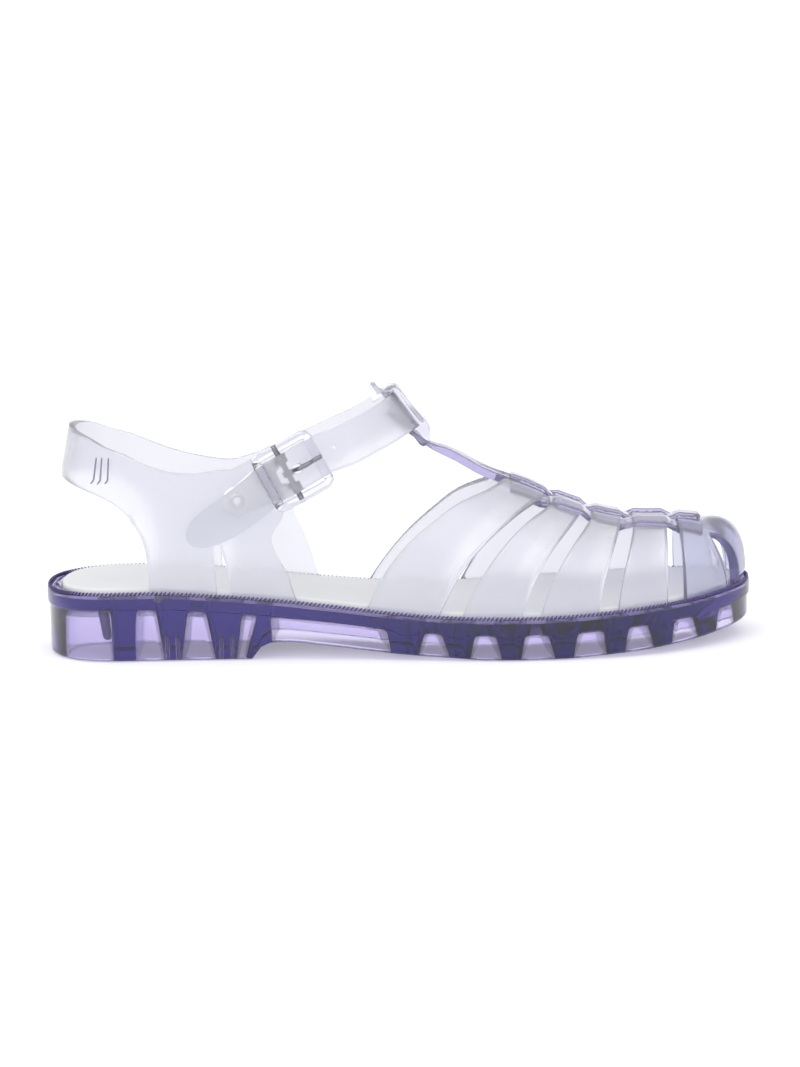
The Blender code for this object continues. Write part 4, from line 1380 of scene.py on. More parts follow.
QUARTER_ROWS = (
    QuarterRow(0, 0.152, 0.240, 0.246, 0.269, 0.240, 0.364, 0.225, 0.393, 0.222),
    QuarterRow(1, 0.150, 0.380, 0.244, 0.262, 0.370, 0.346, 0.360, 0.375, 0.355),
    QuarterRow(2, 0.147, 0.475, 0.242, 0.254, 0.463, 0.329, 0.458, 0.361, 0.462),
    QuarterRow(3, 0.141, 0.545, 0.244, 0.251, 0.500, 0.323, 0.523, 0.350, 0.535),
    QuarterRow(4, 0.126, 0.630, 0.246, 0.254, 0.590, 0.341, 0.630, 0.352, 0.615),
    QuarterRow(5, 0.124, 0.720, 0.248, 0.258, 0.670, 0.328, 0.695, 0.339, 0.690),
    QuarterRow(6, 0.122, 0.810, 0.250, 0.262, 0.735, 0.315, 0.775, 0.323, 0.770),
    QuarterRow(7, 0.120, 0.900, 0.252, 0.268, 0.805, 0.297, 0.868, 0.303, 0.845),
)
CORNER_LEVEL = 4
SLOT_LEVEL = 3


class HeelRow(NamedTuple):
    """Edges of the heel strap against the turn round the heel, as shares of the heel's top height."""

    along: float
    low: float
    high: float


HEEL_ROWS = (
    HeelRow(0.00, 0.630, 0.900), HeelRow(0.17, 0.693, 0.922), HeelRow(0.43, 0.737, 0.962),
    HeelRow(0.75, 0.768, 0.986), HeelRow(1.00, 0.780, 0.994),
)


class LineRow(NamedTuple):
    """Middle line of the ankle strap: shares of the length and of the instep's height."""

    along: float
    height: float


LINE_ROWS = (LineRow(0.207, 0.494), LineRow(0.279, 0.609), LineRow(0.350, 0.716), LineRow(0.430, 0.820),
             LineRow(0.508, 0.911))


class LooseRow(NamedTuple):
    """Ankle strap on the buckle: share of the loose length, middle and half width as shares of the strap's width."""

    along: float
    middle: float
    half: float


LOOSE_ROWS = (
    LooseRow(-1.000, -0.270, 0.02), LooseRow(-0.990, -0.271, 0.14), LooseRow(-0.965, -0.273, 0.235),
    LooseRow(-0.931, -0.275, 0.31), LooseRow(-0.833, -0.268, 0.40), LooseRow(-0.694, -0.255, 0.46),
    LooseRow(-0.509, -0.200, 0.49), LooseRow(-0.289, -0.095, 0.50), LooseRow(-0.185, -0.015, 0.50),
    LooseRow(0.000, 0.000, 0.50), LooseRow(0.463, 0.000, 0.50),
)


@dataclass
class Buckle:
    """Place and sizes of the buckle on the lateral quarter."""

    form: Form
    ankle_width: float = 57.0
    flare_height: float = 28.0
    heel_top: float = 83.0
    strap_back: float = 119.7
    heel_lean: float = 3.3
    heel_tuck: float = 1.5
    ankle_taper: float = 2.0
    nose: float = 1.15
    power: float = 2.3
    pin_along: float = 0.349
    pin_height: float = 0.722
    tilt: float = math.radians(27.5)
    length: float = 23.5
    width: float = 23.0
    rail: float = 3.1
    bar: float = 3.4
    shift: float = 2.0
    pin_radius: float = 1.0
    knuckle_radius: float = 1.8
    metal: float = 0.8
    rivet_reach: float = 20.9
    head_rise: float = 0.6
    loose_length: float = 43.2
    strap_width: float = 15.0

    def __post_init__(self) -> None:
        """Work out the buckle's own directions."""
        form = self.form
        self.pin_out = form.wall + form.clearance + self.knuckle_radius + 0.2
        self.origin = self.heel_side(form.x_of(self.pin_along), form.instep_height * self.pin_height, Side.LATERAL)
        lean = (self.heel_side(self.origin.x, self.origin.z + 1.0, Side.LATERAL) - self.origin).normalized()
        self.along = (Vector((math.cos(self.tilt), 0, 0)) + lean * math.sin(self.tilt)).normalized()
        out = self.along.cross(lean).normalized()
        self.out = out if out.y < 0 else -out
        across = self.out.cross(self.along).normalized()
        self.across = across if across.z > 0 else -across

    def heel_section(self, z: float) -> tuple[float, float]:
        """Back x and half width of the heel's section.

        Args:
            z: Height.

        Returns:
            The x of its back and its half width.
        """
        share = z / self.heel_top
        back = -self.strap_back + self.heel_lean * max(share - 0.8, 0.0) / 0.2 \
            + self.heel_tuck * max(0.75 - share, 0.0)
        return back, self.ankle_width / 2 - self.ankle_taper * max(share - 0.3, 0.0) / 0.7

    def heel_side(self, x: float, z: float, side: Side) -> Vector:
        """A point on the side of the heel.

        Args:
            x: Place along the shoe.
            z: Height.
            side: Side of the shoe.

        Returns:
            The point of the web's inner face.
        """
        form = self.form
        back, half = self.heel_section(z)
        reach = min((x - back) / (half * self.nose), 1.0)
        out = max(1 - (1 - reach) ** self.power, 0.0) ** (1 / self.power)
        ankle = form.ball_width * form.centre.at(0.0) + side.value * half * out
        share = ease((z - form.plate_height(x)) / self.flare_height)
        foot = form.inset_y(x, side, form.last_inset)
        return Vector((x, foot + (ankle - foot) * share, z))

    def at(self, a: float, p: float, n: float) -> Vector:
        """A point in the buckle's directions: along the strap, across it and outwards."""
        return self.origin + self.along * a + self.across * p + self.out * n

    def bars(self) -> tuple[float, float]:
        """Where the frame's two bars cross the strap."""
        reach = self.length / 2 - self.bar / 2
        return self.shift - reach, self.shift + reach

    def lift(self) -> Curve:
        """How far the strap's inner face stands off the quarter, against the distance from the pin.

        Returns:
            The curve.
        """
        gap = self.form.clearance
        over = self.form.wall + 2 * gap + self.metal
        rear, front = self.bars()
        rows = ((-self.loose_length, self.form.wall + gap + 0.2), (-31.3, self.form.wall + 2 * gap + 0.2),
                (-self.rivet_reach, over + self.head_rise + gap), (rear, over + gap),
                (0.0, self.pin_out + self.knuckle_radius + gap), (front, 1.0), (front + 7.0, gap))
        return Curve(tuple(r[0] for r in rows), tuple(r[1] for r in rows))


@dataclass
class Rear:
    """Heel strap, both quarters and the ankle strap as one web."""

    form: Form
    buckle: Buckle
    look: bpy.types.Material
    ridge: bpy.types.Material
    fine: int = 4
    edge_round: float = 0.55
    top_shift: dict[Side, float] = field(default_factory=lambda: {Side.LATERAL: 1.6, Side.MEDIAL: -2.7})
    top_sag: dict[Side, float] = field(default_factory=lambda: {Side.LATERAL: 3.6, Side.MEDIAL: 1.7})
    ribs: tuple[tuple[float, float, float, float], ...] = (
        (-106.4, 73.1, -107.8, 63.8), (-104.5, 73.2, -105.5, 63.8), (-102.2, 73.3, -102.9, 64.0))
    rib_radius: float = 0.32
    rib_hook: float = 0.9
    hook_start: float = 0.85
    medial_drop: float = 2.9
    medial_top_drop: float = 3.4
    hole_radius: float = 0.7
    prong_hole: float = 1.8
    hole_marks: tuple[float, ...] = (3.8, 11.2, 18.7)

    def __post_init__(self) -> None:
        """Make the quarter's curves."""
        self.curves = {name: Curve.column(QUARTER_ROWS, name, "level") for name in QuarterRow._fields[1:]}
        self.heel = {name: Curve.column(HEEL_ROWS, name) for name in ("low", "high")}
        self.line = Curve.column(LINE_ROWS, "height")
        self.loose = {name: Curve.column(LOOSE_ROWS, name) for name in ("middle", "half")}

    def key_point(self, level: float, key: int, side: Side) -> Vector:
        """A point of the quarter's rear edge, slot edges or front edge.

        Args:
            level: Row of the table, with fractions.
            key: 0 rear, 1 and 2 the slot, 3 front.
            side: Side of the shoe.

        Returns:
            The point.
        """
        front = ("front_x", "front_z") if side is Side.LATERAL else ("medial_x", "medial_z")
        x_name, z_name = (("rear_x", "rear_z"), ("slot_rear_x", "slot_z"), ("slot_front_x", "slot_z"), front)[key]
        x = self.form.x_of(self.curves[x_name].at(level))
        z = self.buckle.heel_top * self.curves[z_name].at(level)
        if key in (1, 2):
            z += self.top_shift[side] * ease((level - SLOT_LEVEL) / (len(QUARTER_ROWS) - 1 - SLOT_LEVEL))
        elif key == 3 and side is Side.MEDIAL:
            z -= self.medial_top_drop * ease((level - CORNER_LEVEL) / 2.5)
        low = self.form.plate_height(x) + 2 * self.form.clearance
        z = low + (z - low) * min(level, 1.0) if level < 1 else z
        return self.buckle.heel_side(x, z, side)

    def quarter(self, bm: bmesh.types.BMesh, side: Side) -> None:
        """Add one quarter.

        Args:
            bm: Mesh that takes it.
            side: Side of the shoe.
        """
        top = len(QUARTER_ROWS) - 1
        for key, columns in ((0, 14), (1, 2), (2, 12)):
            first = SLOT_LEVEL if key == 1 else 0

            def place(u: float, v: float, key: int = key, first: int = first) -> Vector:
                """Point between two key lines."""
                level = first + (top - first) * v
                point = self.key_point(level, key, side).lerp(self.key_point(level, key + 1, side), u)
                if key == 0:
                    point.z -= self.top_sag[side] * math.sin(math.pi * u) * v ** 3
                return self.buckle.heel_side(point.x, point.z, side)

            add_grid(bm, columns, (top - first) * self.fine, place)

    def heel_strap(self, bm: bmesh.types.BMesh) -> None:
        """Add the strap round the back of the heel.

        Args:
            bm: Mesh that takes it.
        """
        rows = (len(QUARTER_ROWS) - 1 - CORNER_LEVEL) * self.fine
        steps = 44

        def place(u: float, v: float) -> Vector:
            """Point of the strap, from the lateral quarter round to the medial one."""
            side = Side.LATERAL if u <= 0.5 else Side.MEDIAL
            turn = 2 * u if u <= 0.5 else 2 - 2 * u
            start = self.key_point(CORNER_LEVEL + (rows // self.fine) * v, 0, side)
            if turn == 0:
                return start
            low, high = (self.buckle.heel_top * self.heel[name].at(turn) for name in ("low", "high"))
            z = low + (high - low) * v
            back, _ = self.buckle.heel_section(z)
            reach = 1 - math.sin(turn * math.pi / 2)
            return self.buckle.heel_side(back + (start.x - back) * reach, z, side)

        add_grid(bm, steps, rows, place)

    def strap_height(self, x: float) -> float:
        """Height of the ankle strap's middle line."""
        return self.form.instep_height * self.line.at(self.form.along_of(x))

    def stations(self) -> list[tuple[Vector, Vector, float]]:
        """The ankle strap from its medial start over the instep to its loose tip.

        Returns:
            Middle point, width direction and half width, one after the other.
        """
        form, buckle = self.form, self.buckle
        apex_along = LINE_ROWS[-1].along
        apex_x, turn_x = form.x_of(apex_along), form.x_of(0.385)
        apex = Vector((apex_x, form.ball_width * form.ridge_side.at(apex_along), self.strap_height(apex_x)))
        side_wide = Vector((math.sin(buckle.tilt), 0, -math.cos(buckle.tilt)))
        tilt = INSTEP_TILT
        top_wide = Vector((math.cos(tilt), 0, -math.sin(tilt)))
        half = buckle.strap_width / 2
        found = []
        for side, turns in ((Side.MEDIAL, [0.18 + 0.82 * k / 22 for k in range(23)]),
                            (Side.LATERAL, [1.0 - 0.82 * k / 22 for k in range(1, 23)])):
            base = buckle.heel_side(turn_x, self.strap_height(turn_x), side)
            for turn in turns:
                reach = math.sin(turn * math.pi / 2) ** (2 / buckle.power)
                out = math.cos(turn * math.pi / 2) ** (2 / buckle.power) if turn < 1 else 0.0
                x = base.x + (apex.x - base.x) * reach
                wide = side_wide.lerp(top_wide, reach).normalized()
                drop = self.medial_drop * ease((apex.x - x) / 17.0) if side is Side.MEDIAL else 0.0
                found.append((Vector((x, apex.y + (base.y - apex.y) * out, self.strap_height(x) - drop)), wide, half))
        lifts = buckle.lift()
        first, count = 14.0, 76
        for k in range(count + 1):
            share = k / count
            reach = first - (first + buckle.loose_length) * (share if share < 0.8 else
                                                             0.8 + 0.2 * math.sin((share - 0.8) / 0.2 * math.pi / 2))
            mark = reach / buckle.loose_length
            middle = buckle.at(reach, self.loose["middle"].at(mark) * buckle.strap_width, lifts.at(reach))
            found.append((middle, -buckle.across, self.loose["half"].at(mark) * buckle.strap_width))
        return found

    def ankle_strap(self, bm: bmesh.types.BMesh) -> None:
        """Add the ankle strap.

        Args:
            bm: Mesh that takes it.
        """
        rows = (len(QUARTER_ROWS) - 1 - CORNER_LEVEL) * self.fine
        top = len(QUARTER_ROWS) - 1
        stations = self.stations()
        starts = [self.key_point(CORNER_LEVEL + (top - CORNER_LEVEL) * j / rows, 3, Side.MEDIAL)
                  for j in range(rows + 1)]
        lead = 4

        def place(u: float, v: float) -> Vector:
            """Point of the strap, with a short lead out of the quarter."""
            step = round(u * (len(stations) - 1 + lead))
            middle, wide, half = stations[max(step - lead, 0)]
            point = middle + wide * half * (1 - 2 * v)
            if step >= lead:
                return point
            return starts[round(v * rows)].lerp(point, step / lead)

        add_grid(bm, len(stations) - 1 + lead, rows, place)

    def build_ribs(self) -> bpy.types.Object:
        """Build the three thin ribs on the lateral side of the heel strap.

        Returns:
            The piece.
        """
        bm = bmesh.new()
        for x_top, z_top, x_low, z_low in self.ribs:
            path, radii = [], []
            for k in range(13):
                share = k / 12
                x, z = x_top + (x_low - x_top) * share, z_top + (z_low - z_top) * share
                x -= self.rib_hook * ease((share - self.hook_start) / (1 - self.hook_start))
                here = self.buckle.heel_side(x, z, Side.LATERAL)
                run = self.buckle.heel_side(x + 0.5, z, Side.LATERAL) - here
                out = run.cross(self.buckle.heel_side(x, z + 0.5, Side.LATERAL) - here).normalized()
                if out.y > 0:
                    out.negate()
                path.append(here + out * (self.form.wall + 0.05))
                radii.append(self.rib_radius * (0.6 if k in (0, 12) else 1.0))
            add_round(bm, path, radii, 10)
        # the ribs carry painted shade: grey lines in place of their refraction
        return solid("heel_strap_ribs", bm, self.ridge, Slot.CLEAR, 60.0)

    def build(self) -> bpy.types.Object:
        """Build the web.

        Returns:
            The piece.
        """
        bm = bmesh.new()
        for side in Side:
            self.quarter(bm, side)
        self.heel_strap(bm)
        self.ankle_strap(bm)
        weld(bm, 0.02)
        heel = min(bm.faces, key=lambda f: f.calc_center_median().x)
        if heel.normal.x > 0:
            bmesh.ops.reverse_faces(bm, faces=bm.faces)
        made = finish("quarters_and_ankle_strap", bm, self.look, Slot.CLEAR)
        wall(made, self.form.wall)
        soften(made, self.edge_round, 3)
        holes = []
        for i, mark in enumerate(self.hole_marks):
            tool = bmesh.new()
            radius = self.prong_hole if i == 0 else self.hole_radius
            add_round(tool, [self.buckle.at(mark, 0, -3), self.buckle.at(mark, 0, 12)], [radius] * 2, 24)
            holes.append(tool_object(f"strap_hole_{i}", tool))
        tool = bmesh.new()
        add_round(tool, [self.buckle.at(-self.buckle.rivet_reach, 0, -3),
                         self.buckle.at(-self.buckle.rivet_reach, 0, 2.3)], [2.2] * 2, 24)
        holes.append(tool_object("rivet_hole", tool))
        for hole in holes:
            cut(made, hole)
        settle(made, 50.0)
        drop(holes)
        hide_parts("upper")
        return made


@dataclass
class RimRing:
    """Ring that the straps stand on, inside the sole's lip."""

    form: Form
    look: bpy.types.Material

    def build(self) -> bpy.types.Object:
        """Build the ring.

        Returns:
            The piece.
        """
        form = self.form
        inset, thick = form.rim_inset, form.rim_wall

        def low(x: float) -> float:
            """Give the height of the ring's foot on the sole."""
            return form.plate_height(x) + form.clearance

        def high(x: float) -> float:
            """Give the height of the ring's top."""
            return form.rim_height(x) + form.clearance

        rings = [form.ring(inset, low), form.ring(inset, high), form.ring(inset + thick, high),
                 form.ring(inset + thick, low)]
        bm = bmesh.new()
        add_tube(bm, [list(section) for section in zip(*rings)], closed=True)
        return solid("upper_rim", bm, self.look, Slot.CLEAR, edge=(0.4, 2, 40.0))


@dataclass
class TStrap:
    """Strap up the instep, with raised rails, and the loop that the ankle strap runs through."""

    form: Form
    look: bpy.types.Material
    bridge: bpy.types.Material
    width: float = 13.0
    thick: float = 3.0
    sink: float = 0.4
    rail: float = 1.5
    top: float = 0.488
    tilt: float = INSTEP_TILT
    loop_width: float = 14.2
    ear_side: float = 7.6
    ear: tuple[tuple[float, float], ...] = (
        (-8.0, 86.8), (-9.3, 89.2), (-9.7, 91.4), (-9.3, 93.2), (-8.4, 94.5), (-7.3, 94.2), (-6.5, 93.0), (-5.6, 91.9),
        (-3.8, 92.0), (-1.6, 91.4), (-3.0, 89.6), (-6.4, 88.0))
    strap_width: float = 15.0

    def build_strap(self) -> bpy.types.Object:
        """Build the strap with its rails.

        Returns:
            The piece.
        """
        walls = Curve((self.top, 0.545, 0.570, 0.680), (0.45, 0.62, 1.0, 1.0))
        last, steps, half = STRAPS[0].rear_top + 0.02, 60, self.width / 2
        sections = []
        for k in range(steps + 1):
            along = self.top + (last - self.top) * k / steps
            high = walls.at(along) * self.thick - self.sink
            floor = high - min(0.9, (high + self.sink) * 0.4)
            outline = [(-half, -self.sink), (-half, high), (-half + self.rail, high), (-half + self.rail + 0.4, floor),
                       (0.0, floor), (half - self.rail - 0.4, floor), (half - self.rail, high), (half, high),
                       (half, -self.sink), (0.0, -self.sink)]
            sections.append([self.form.on_last(along, y, n) for y, n in outline])
        bm = bmesh.new()
        add_tube(bm, sections)
        return solid("instep_strap", bm, self.look, Slot.CLEAR, edge=(0.35, 2, 40.0))

    def build_loop(self) -> bpy.types.Object:
        """Build the loop as a block with a slot for the ankle strap.

        Returns:
            The piece.
        """
        form = self.form
        along = LINE_ROWS[-1].along
        x = form.x_of(along)
        middle = Vector((x, form.ball_width * form.ridge_side.at(along),
                         form.instep_height * LINE_ROWS[-1].height))
        down = Vector((math.cos(self.tilt), 0, -math.sin(self.tilt)))
        out = Vector((math.sin(self.tilt), 0, math.cos(self.tilt)))
        rear, front = -self.strap_width / 2 - 0.45, self.strap_width / 2 + 0.45
        low, high = -0.45, form.wall + 0.45
        # the loop's outside in the plane of the instep, seen from the side
        outer = ((rear - 1.9, -1.8), (rear - 1.8, high - 0.7), (rear - 0.2, high + 1.3), (rear + 1.6, high + 1.8),
                 (front + 0.8, high + 2.6), (front + 4.2, high + 1.9), (front + 7.2, low + 1.6),
                 (front + 7.2, low - 0.6), (front + 5.8, -1.8))
        bm = bmesh.new()
        half = self.loop_width / 2
        sections = [[middle + down * w + out * n + Vector((0, y, 0)) for w, n in outer] for y in (-half, 0, half)]
        add_tube(bm, sections)
        bmesh.ops.recalc_face_normals(bm, faces=bm.faces)
        made = finish("strap_loop", bm, self.bridge, Slot.CLEAR)
        tool = bmesh.new()
        inner = ((rear, low), (rear, high), (front, high), (front, low))
        add_tube(tool, [[middle + down * w + out * n + Vector((0, y, 0)) for w, n in inner]
                        for y in (-half - 3, half + 3)])
        slot = tool_object("loop_slot", tool)
        cut(made, slot)
        soften(made, 0.6, 3, 30.0)
        settle(made, 50.0)
        drop([slot])
        return made

    def build_ear(self) -> bpy.types.Object:
        """Build the leaf-shaped ear behind the loop's bridge.

        Returns:
            The piece.
        """
        bm = bmesh.new()
        add_tube(bm, [[Vector((x, self.ear_side + y, z)) for x, z in self.ear] for y in (-0.8, 0.8)])
        return solid("loop_ear", bm, self.bridge, Slot.CLEAR, edge=(0.5, 3, 50.0))

    def build(self) -> list[bpy.types.Object]:
        """Build the three pieces.

        Returns:
            The pieces.
        """
        return [self.build_strap(), self.build_loop(), self.build_ear()]


# ---- buckle ------------------------------------------------------------------------------------------------------


@dataclass
class BuckleSet:
    """Clear frame, pin, plate, rivet and prong."""

    place: Buckle
    clear: bpy.types.Material
    steel: bpy.types.Material
    wire: bpy.types.Material
    frame_top: float = 2.4
    corner: float = 3.4
    section_edge: float = 0.9
    pin_short: float = 1.1
    plate_ear: float = 7.25
    plate_inner: float = 4.15
    plate_waist: float = 2.2
    plate_fork: float = 3.5
    plate_neck: float = 9.5
    plate_end: float = 5.2
    knuckle: tuple[float, float] = (4.0, 7.4)
    wire_radius: float = 0.8
    coil_radius: float = 1.45

    def build_frame(self) -> bpy.types.Object:
        """Build the clear frame as a soft-edged section run round a rounded rectangle.

        Returns:
            The piece.
        """
        spot = self.place
        rear_bar, front_bar = spot.bars()
        half_long = (front_bar - rear_bar) / 2
        half_wide = spot.width / 2 - spot.rail / 2
        centre = (rear_bar + front_bar) / 2
        lifts = spot.lift()
        wall_mm, gap = spot.form.wall, spot.form.clearance
        top = spot.pin_out + spot.pin_radius + self.frame_top
        path: list[tuple[float, float, float, float]] = []
        radius = self.corner - spot.rail / 2
        corners = ((half_long, half_wide, 0), (-half_long, half_wide, 90), (-half_long, -half_wide, 180),
                   (half_long, -half_wide, 270))
        for a, p, start in corners:
            for k in range(7):
                turn = math.radians(start + 90 * k / 6)
                ca, cp = a - math.copysign(radius, a), p - math.copysign(radius, p)
                path.append((ca + radius * math.cos(turn), cp + radius * math.sin(turn), math.cos(turn),
                             math.sin(turn)))
        dense = []
        for i, here in enumerate(path):
            after = path[(i + 1) % len(path)]
            gap_mm = math.dist(here[:2], after[:2])
            parts = max(int(gap_mm / 1.0), 1)
            dense += [tuple(h + (n - h) * k / parts for h, n in zip(here, after)) for k in range(parts)]
        sections = []
        for a, p, na, np_ in dense:
            on_bar = ease((half_wide - 1.0 - abs(p)) / 1.6) * (1 if abs(a) > half_long - 1.5 else 0)
            bar = front_bar if a > 0 else rear_bar
            under = max(lifts.at(bar - spot.bar / 2), lifts.at(bar + spot.bar / 2)) + wall_mm + 2 * gap
            low = wall_mm + 1.2 + (under - wall_mm - 1.2) * on_bar
            bar_top = min(top, under + 2.6) if a > 0 else top
            high = top + (bar_top - top) * on_bar
            if a > 0:
                high = min(high, top - 1.5 * ease((a - 2.0) / (half_long - 2.0)))
            wide = (spot.rail + (spot.bar - spot.rail) * abs(na)) / 2
            edge = self.section_edge
            outline = []
            for su, sn, start in ((1, 1, 0), (-1, 1, 90), (-1, -1, 180), (1, -1, 270)):
                for k in range(4):
                    turn = math.radians(start + 30 * k)
                    outline.append(((wide - edge) * su + edge * math.cos(turn),
                                    ((high - low) / 2 - edge) * sn + edge * math.sin(turn)))
            sections.append([spot.at(centre + a + na * w, p + np_ * w, (low + high) / 2 + n) for w, n in outline])
        bm = bmesh.new()
        add_tube(bm, sections, closed=True)
        made = solid("clear_buckle_frame", bm, self.clear, Slot.CLEAR, 60.0)
        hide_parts("buckle_frame")
        return made

    def build_pin(self) -> bpy.types.Object:
        """Build the pin.

        Returns:
            The piece.
        """
        spot = self.place
        end = spot.width / 2 - self.pin_short
        chamfer = 0.25
        bm = bmesh.new()
        marks = ((-end, spot.pin_radius - chamfer), (-end + chamfer, spot.pin_radius),
                 (end - chamfer, spot.pin_radius), (end, spot.pin_radius - chamfer))
        add_round(bm, [spot.at(0, p, spot.pin_out) for p, _ in marks], [r for _, r in marks], 24)
        made = solid("hinge_pin", bm, self.wire, Slot.STEEL, 40.0)
        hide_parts("buckle_pin")
        return made

    def build_plate(self) -> bpy.types.Object:
        """Build the stamped plate, forked round the prong and round at the rivet.

        Returns:
            The piece.
        """
        spot = self.place
        low = spot.form.wall + spot.form.clearance
        ear, inner, waist = self.plate_ear, self.plate_inner, self.plate_waist
        fork, neck, end = -self.plate_fork, -self.plate_neck, self.plate_end
        edge = [(0.0, -ear), (0.0, -inner), (fork, -waist), (fork, waist), (0.0, inner), (0.0, ear), (neck, ear)]
        for k in range(17):
            turn = math.radians(70 + 220 * k / 16)
            edge.append((-spot.rivet_reach + end * math.cos(turn), end * math.sin(turn)))
        edge.append((neck, -ear))
        bm = bmesh.new()
        sections = [[spot.at(a, p, n) for a, p in edge] for n in (low, low + spot.metal)]
        add_tube(bm, sections)
        bmesh.ops.recalc_face_normals(bm, faces=bm.faces)
        made = finish("stamped_plate", bm, self.steel, Slot.STEEL)
        soften(made, 0.18, 2, 50.0)
        hole = bmesh.new()
        add_round(hole, [spot.at(-spot.rivet_reach, 0, -1), spot.at(-spot.rivet_reach, 0, 8)], [2.2] * 2, 24)
        tool = tool_object("plate_hole", hole)
        cut(made, tool)
        settle(made, 35.0)
        drop([tool])
        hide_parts("buckle_plate")
        return made

    def build_knuckles(self) -> bpy.types.Object:
        """Build the plate's two knuckles, each rolled round the pin with its seam open.

        Returns:
            The piece.
        """
        spot = self.place
        outer, inner = spot.knuckle_radius, spot.pin_radius + 0.15
        near, far = self.knuckle
        bm = bmesh.new()
        for side in (-1, 1):
            roll = []
            for k in range(25):
                turn = math.radians(-110 + 325 * k / 24)
                roll.append([spot.at(r * math.cos(turn) + 0.35, side * p, spot.pin_out + r * math.sin(turn))
                             for r, p in ((inner, near), (outer, near), (outer, far), (inner, far))])
            add_tube(bm, roll)
        # rolled from the plate but painted darker than it: painted reflection and shade
        return solid("rolled_knuckles", bm, self.wire, Slot.STEEL, 40.0, (0.15, 2, 50.0))

    def build_rivet(self) -> bpy.types.Object:
        """Build the hollow rivet by turning its profile.

        Returns:
            The piece.
        """
        spot = self.place
        top = spot.form.wall + 2 * spot.form.clearance + spot.metal
        profile = [(1.4, -0.7), (2.5, -0.7), (2.7, -0.55), (2.7, -0.3), (1.9, -0.3), (1.9, top), (2.7, top),
                   (2.72, top + 0.2), (2.5, top + 0.48), (2.1, top + 0.6), (1.7, top + 0.52), (1.45, top + 0.25),
                   (1.4, top - 0.2)]
        bm = bmesh.new()
        ring = [bm.verts.new(spot.at(-spot.rivet_reach + r, 0, n)) for r, n in profile]
        edges = [bm.edges.new((a, b)) for a, b in zip(ring, ring[1:] + ring[:1])]
        bmesh.ops.spin(bm, geom=ring + edges, cent=spot.at(-spot.rivet_reach, 0, 0), axis=spot.out,
                       angle=math.tau, steps=36, use_merge=True)
        bmesh.ops.remove_doubles(bm, verts=bm.verts, dist=1e-3)
        made = solid("eyelet_rivet", bm, self.steel, Slot.STEEL, 40.0)
        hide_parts("rivet")
        return made

    def build_prong(self) -> bpy.types.Object:
        """Build the wire prong with its coil round the pin and its collar.

        Returns:
            The piece.
        """
        spot = self.place
        wire = self.wire_radius
        under = spot.pin_out + spot.knuckle_radius - wire
        over = spot.pin_out + spot.knuckle_radius + spot.form.clearance + spot.form.wall + wire
        front = spot.bars()[1]
        rest = max(spot.lift().at(front - 1.7), 1.0) + spot.form.wall + 0.6 + 2.6 + wire + 0.3
        route = [(0.65, under), (2.6, under), (3.8, (under + over) / 2), (5.0, over), (front - 3.4, over),
                 (front - 1.7, rest), (front + 1.7, rest)]
        keys = Curve(tuple(a for a, _ in route), tuple(n for _, n in route))
        path = [spot.at(a, 0, keys.at(a)) for a in [0.65 + (front + 1.05) * k / 48 for k in range(49)]]
        bm = bmesh.new()
        radii = [wire] * 46 + [wire * 0.96, wire * 0.8, wire * 0.45]
        add_round(bm, path, radii, 14)
        coil = []
        for k in range(81):
            turn = math.tau * 2.5 * k / 80
            coil.append(spot.at(math.cos(turn) * self.coil_radius, -0.9 + 1.8 * k / 80,
                                spot.pin_out + math.sin(turn) * self.coil_radius))
        add_round(bm, coil, [0.38] * len(coil), 10)
        add_round(bm, [spot.at(a, 0, keys.at(a)) for a in (6.6, 6.8, 8.0, 8.2)], [0.7, 0.9, 0.9, 0.7], 16)
        made = solid("wire_prong", bm, self.wire, Slot.STEEL, 40.0)
        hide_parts("buckle_prong")
        return made

    def build(self) -> list[bpy.types.Object]:
        """Build the buckle's pieces.

        Returns:
            The pieces.
        """
        return [self.build_frame(), self.build_pin(), self.build_plate(), self.build_knuckles(), self.build_rivet(),
                self.build_prong()]


# ---- studio ------------------------------------------------------------------------------------------------------


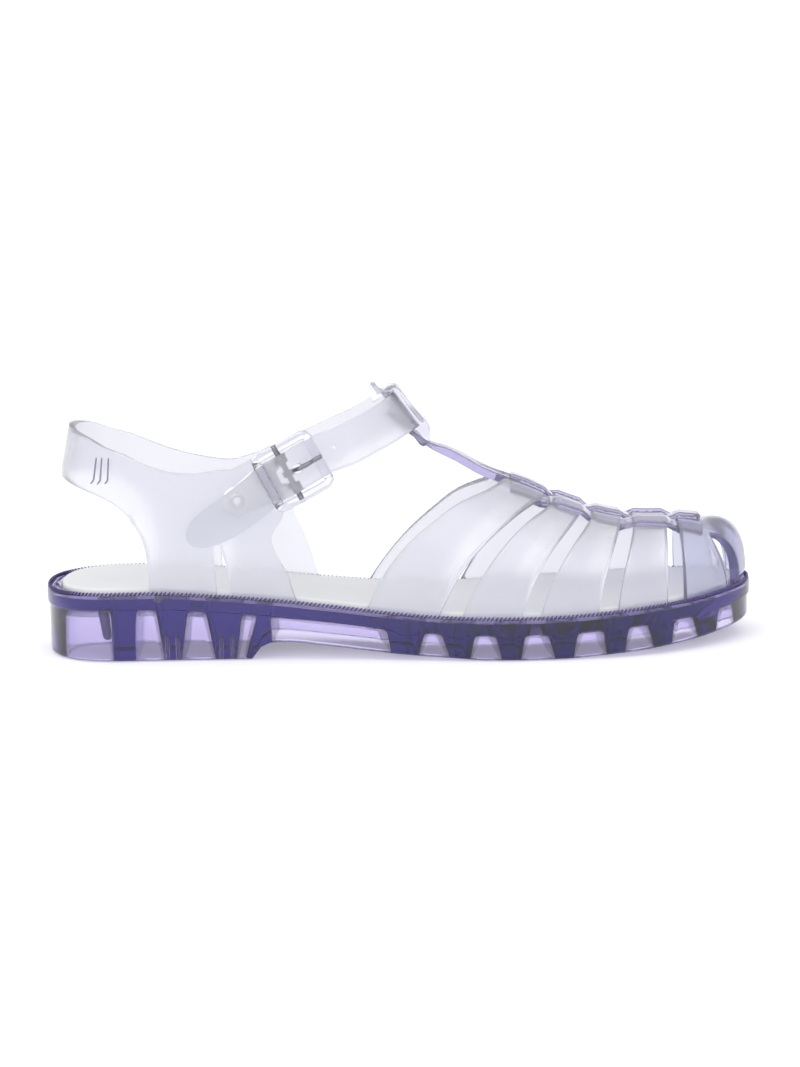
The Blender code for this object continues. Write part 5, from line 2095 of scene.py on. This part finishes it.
@dataclass
class Studio:
    """Pale floor, soft light and the camera at the photograph's angle."""

    elevation: float = math.radians(9.5)
    roll: float = math.radians(-1.2)
    distance: float = 1600.0
    pixels_per_mm: float = 2.742
    target: Vector = field(default_factory=lambda: Vector((0.0, 0.0, 38.9)))
    target_pixel: tuple[float, float] = (398.0, 535.0)
    frame: tuple[int, int] = (800, 1067)
    air: float = 0.74
    power: float = 1.0
    softness: float = math.radians(75)
    light_from: Vector = field(default_factory=lambda: Vector((-0.25, -0.6, 1.0)))
    floor_drop: float = 0.3
    floor_reach: float = 3.2
    floor_edge: float = 1.2

    def add_camera(self) -> None:
        """Add the camera and make it the scene's."""
        right = Vector((1, 0, 0))
        back = Vector((0, -math.cos(self.elevation), math.sin(self.elevation)))
        up = back.cross(right)
        right, up = (right * math.cos(self.roll) + up * math.sin(self.roll),
                     up * math.cos(self.roll) - right * math.sin(self.roll))
        data = bpy.data.cameras.new("camera")
        data.sensor_width = 36.0
        data.sensor_fit = "AUTO"
        longest = max(self.frame)
        data.lens = self.pixels_per_mm * self.distance * data.sensor_width / longest
        data.shift_x = (self.frame[0] / 2 - self.target_pixel[0]) / longest
        data.shift_y = -(self.frame[1] / 2 - self.target_pixel[1]) / longest
        data.clip_start, data.clip_end = 0.05, 50.0
        turn = Matrix((right, up, back)).transposed().to_4x4()
        camera = bpy.data.objects.new("camera", data)
        camera.matrix_world = Matrix.Translation((self.target + back * self.distance) * MM) @ turn
        bpy.context.scene.collection.objects.link(camera)
        bpy.context.scene.camera = camera

    def add_floor(self) -> None:
        """Add the floor with its raised round edge, a profile spun about the shoe."""
        profile = [(0.0, 0.0), (self.floor_reach, 0.0)]
        for k in range(1, 9):
            turn = math.pi / 2 * k / 8
            profile.append((self.floor_reach + self.floor_edge * math.sin(turn),
                            self.floor_edge * (1 - math.cos(turn))))
        bm = bmesh.new()
        line = [bm.verts.new((x, 0.0, z - self.floor_drop * MM)) for x, z in profile]
        edges = [bm.edges.new(pair) for pair in zip(line, line[1:])]
        bmesh.ops.spin(bm, geom=line + edges, axis=(0, 0, 1), angle=math.tau, steps=64, use_merge=True)
        bmesh.ops.remove_doubles(bm, verts=bm.verts, dist=1e-5)
        bmesh.ops.recalc_face_normals(bm, faces=bm.faces)
        middle = min(bm.faces, key=lambda f: f.calc_center_median().length)
        if middle.normal.z < 0:
            bmesh.ops.reverse_faces(bm, faces=bm.faces)
        mesh = bpy.data.meshes.new("studio_floor")
        bm.to_mesh(mesh)
        bm.free()
        mesh.materials.append(PaleFloor().make())
        mesh.shade_smooth()
        floor = bpy.data.objects.new("studio_floor", mesh)
        bpy.context.scene.collection.objects.link(floor)

    def add_sky_light(self) -> None:
        """Add one very wide soft light from above the camera's left shoulder."""
        data = bpy.data.lights.new("softbox", "SUN")
        data.energy = self.power
        data.angle = self.softness
        light = bpy.data.objects.new("softbox", data)
        light.matrix_world = self.light_from.to_track_quat("Z", "Y").to_matrix().to_4x4()
        bpy.context.scene.collection.objects.link(light)

    def build(self) -> None:
        """Build the whole studio."""
        self.add_camera()
        self.add_floor()
        world = bpy.data.worlds.new("studio_air")
        world.use_nodes = True
        sky = world.node_tree.nodes["Background"]
        sky.inputs["Color"].default_value = linear("#ffffff")
        sky.inputs["Strength"].default_value = self.air
        bpy.context.scene.world = world
        self.add_sky_light()
        scene = bpy.context.scene
        scene.view_settings.view_transform = "Standard"
        scene.view_settings.look = "None"


def main() -> None:
    """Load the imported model, build every piece and report it."""
    logging.basicConfig(level=logging.INFO, format="%(name)s: %(message)s")
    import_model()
    Studio().build()
    finishes = Finishes()
    form = Form()
    spot = Buckle(form)
    made = Outsole(form, finishes.lilac, finishes.welt).build()
    made.append(Insole(form, finishes.cloth).build())
    made.append(RimRing(form, finishes.clear).build())
    made += Vamp(form, finishes.satin, finishes.toe, finishes.clear).build()
    rear = Rear(form, spot, finishes.satin, finishes.ridge)
    made += [rear.build(), rear.build_ribs()]
    made += TStrap(form, finishes.clear, finishes.crystal).build()
    made += BuckleSet(spot, finishes.crystal, finishes.steel, finishes.wire).build()
    for piece in made:
        LOG.info("%s: %d faces", piece.name, len(piece.data.polygons))


if __name__ == "__main__":
    main()
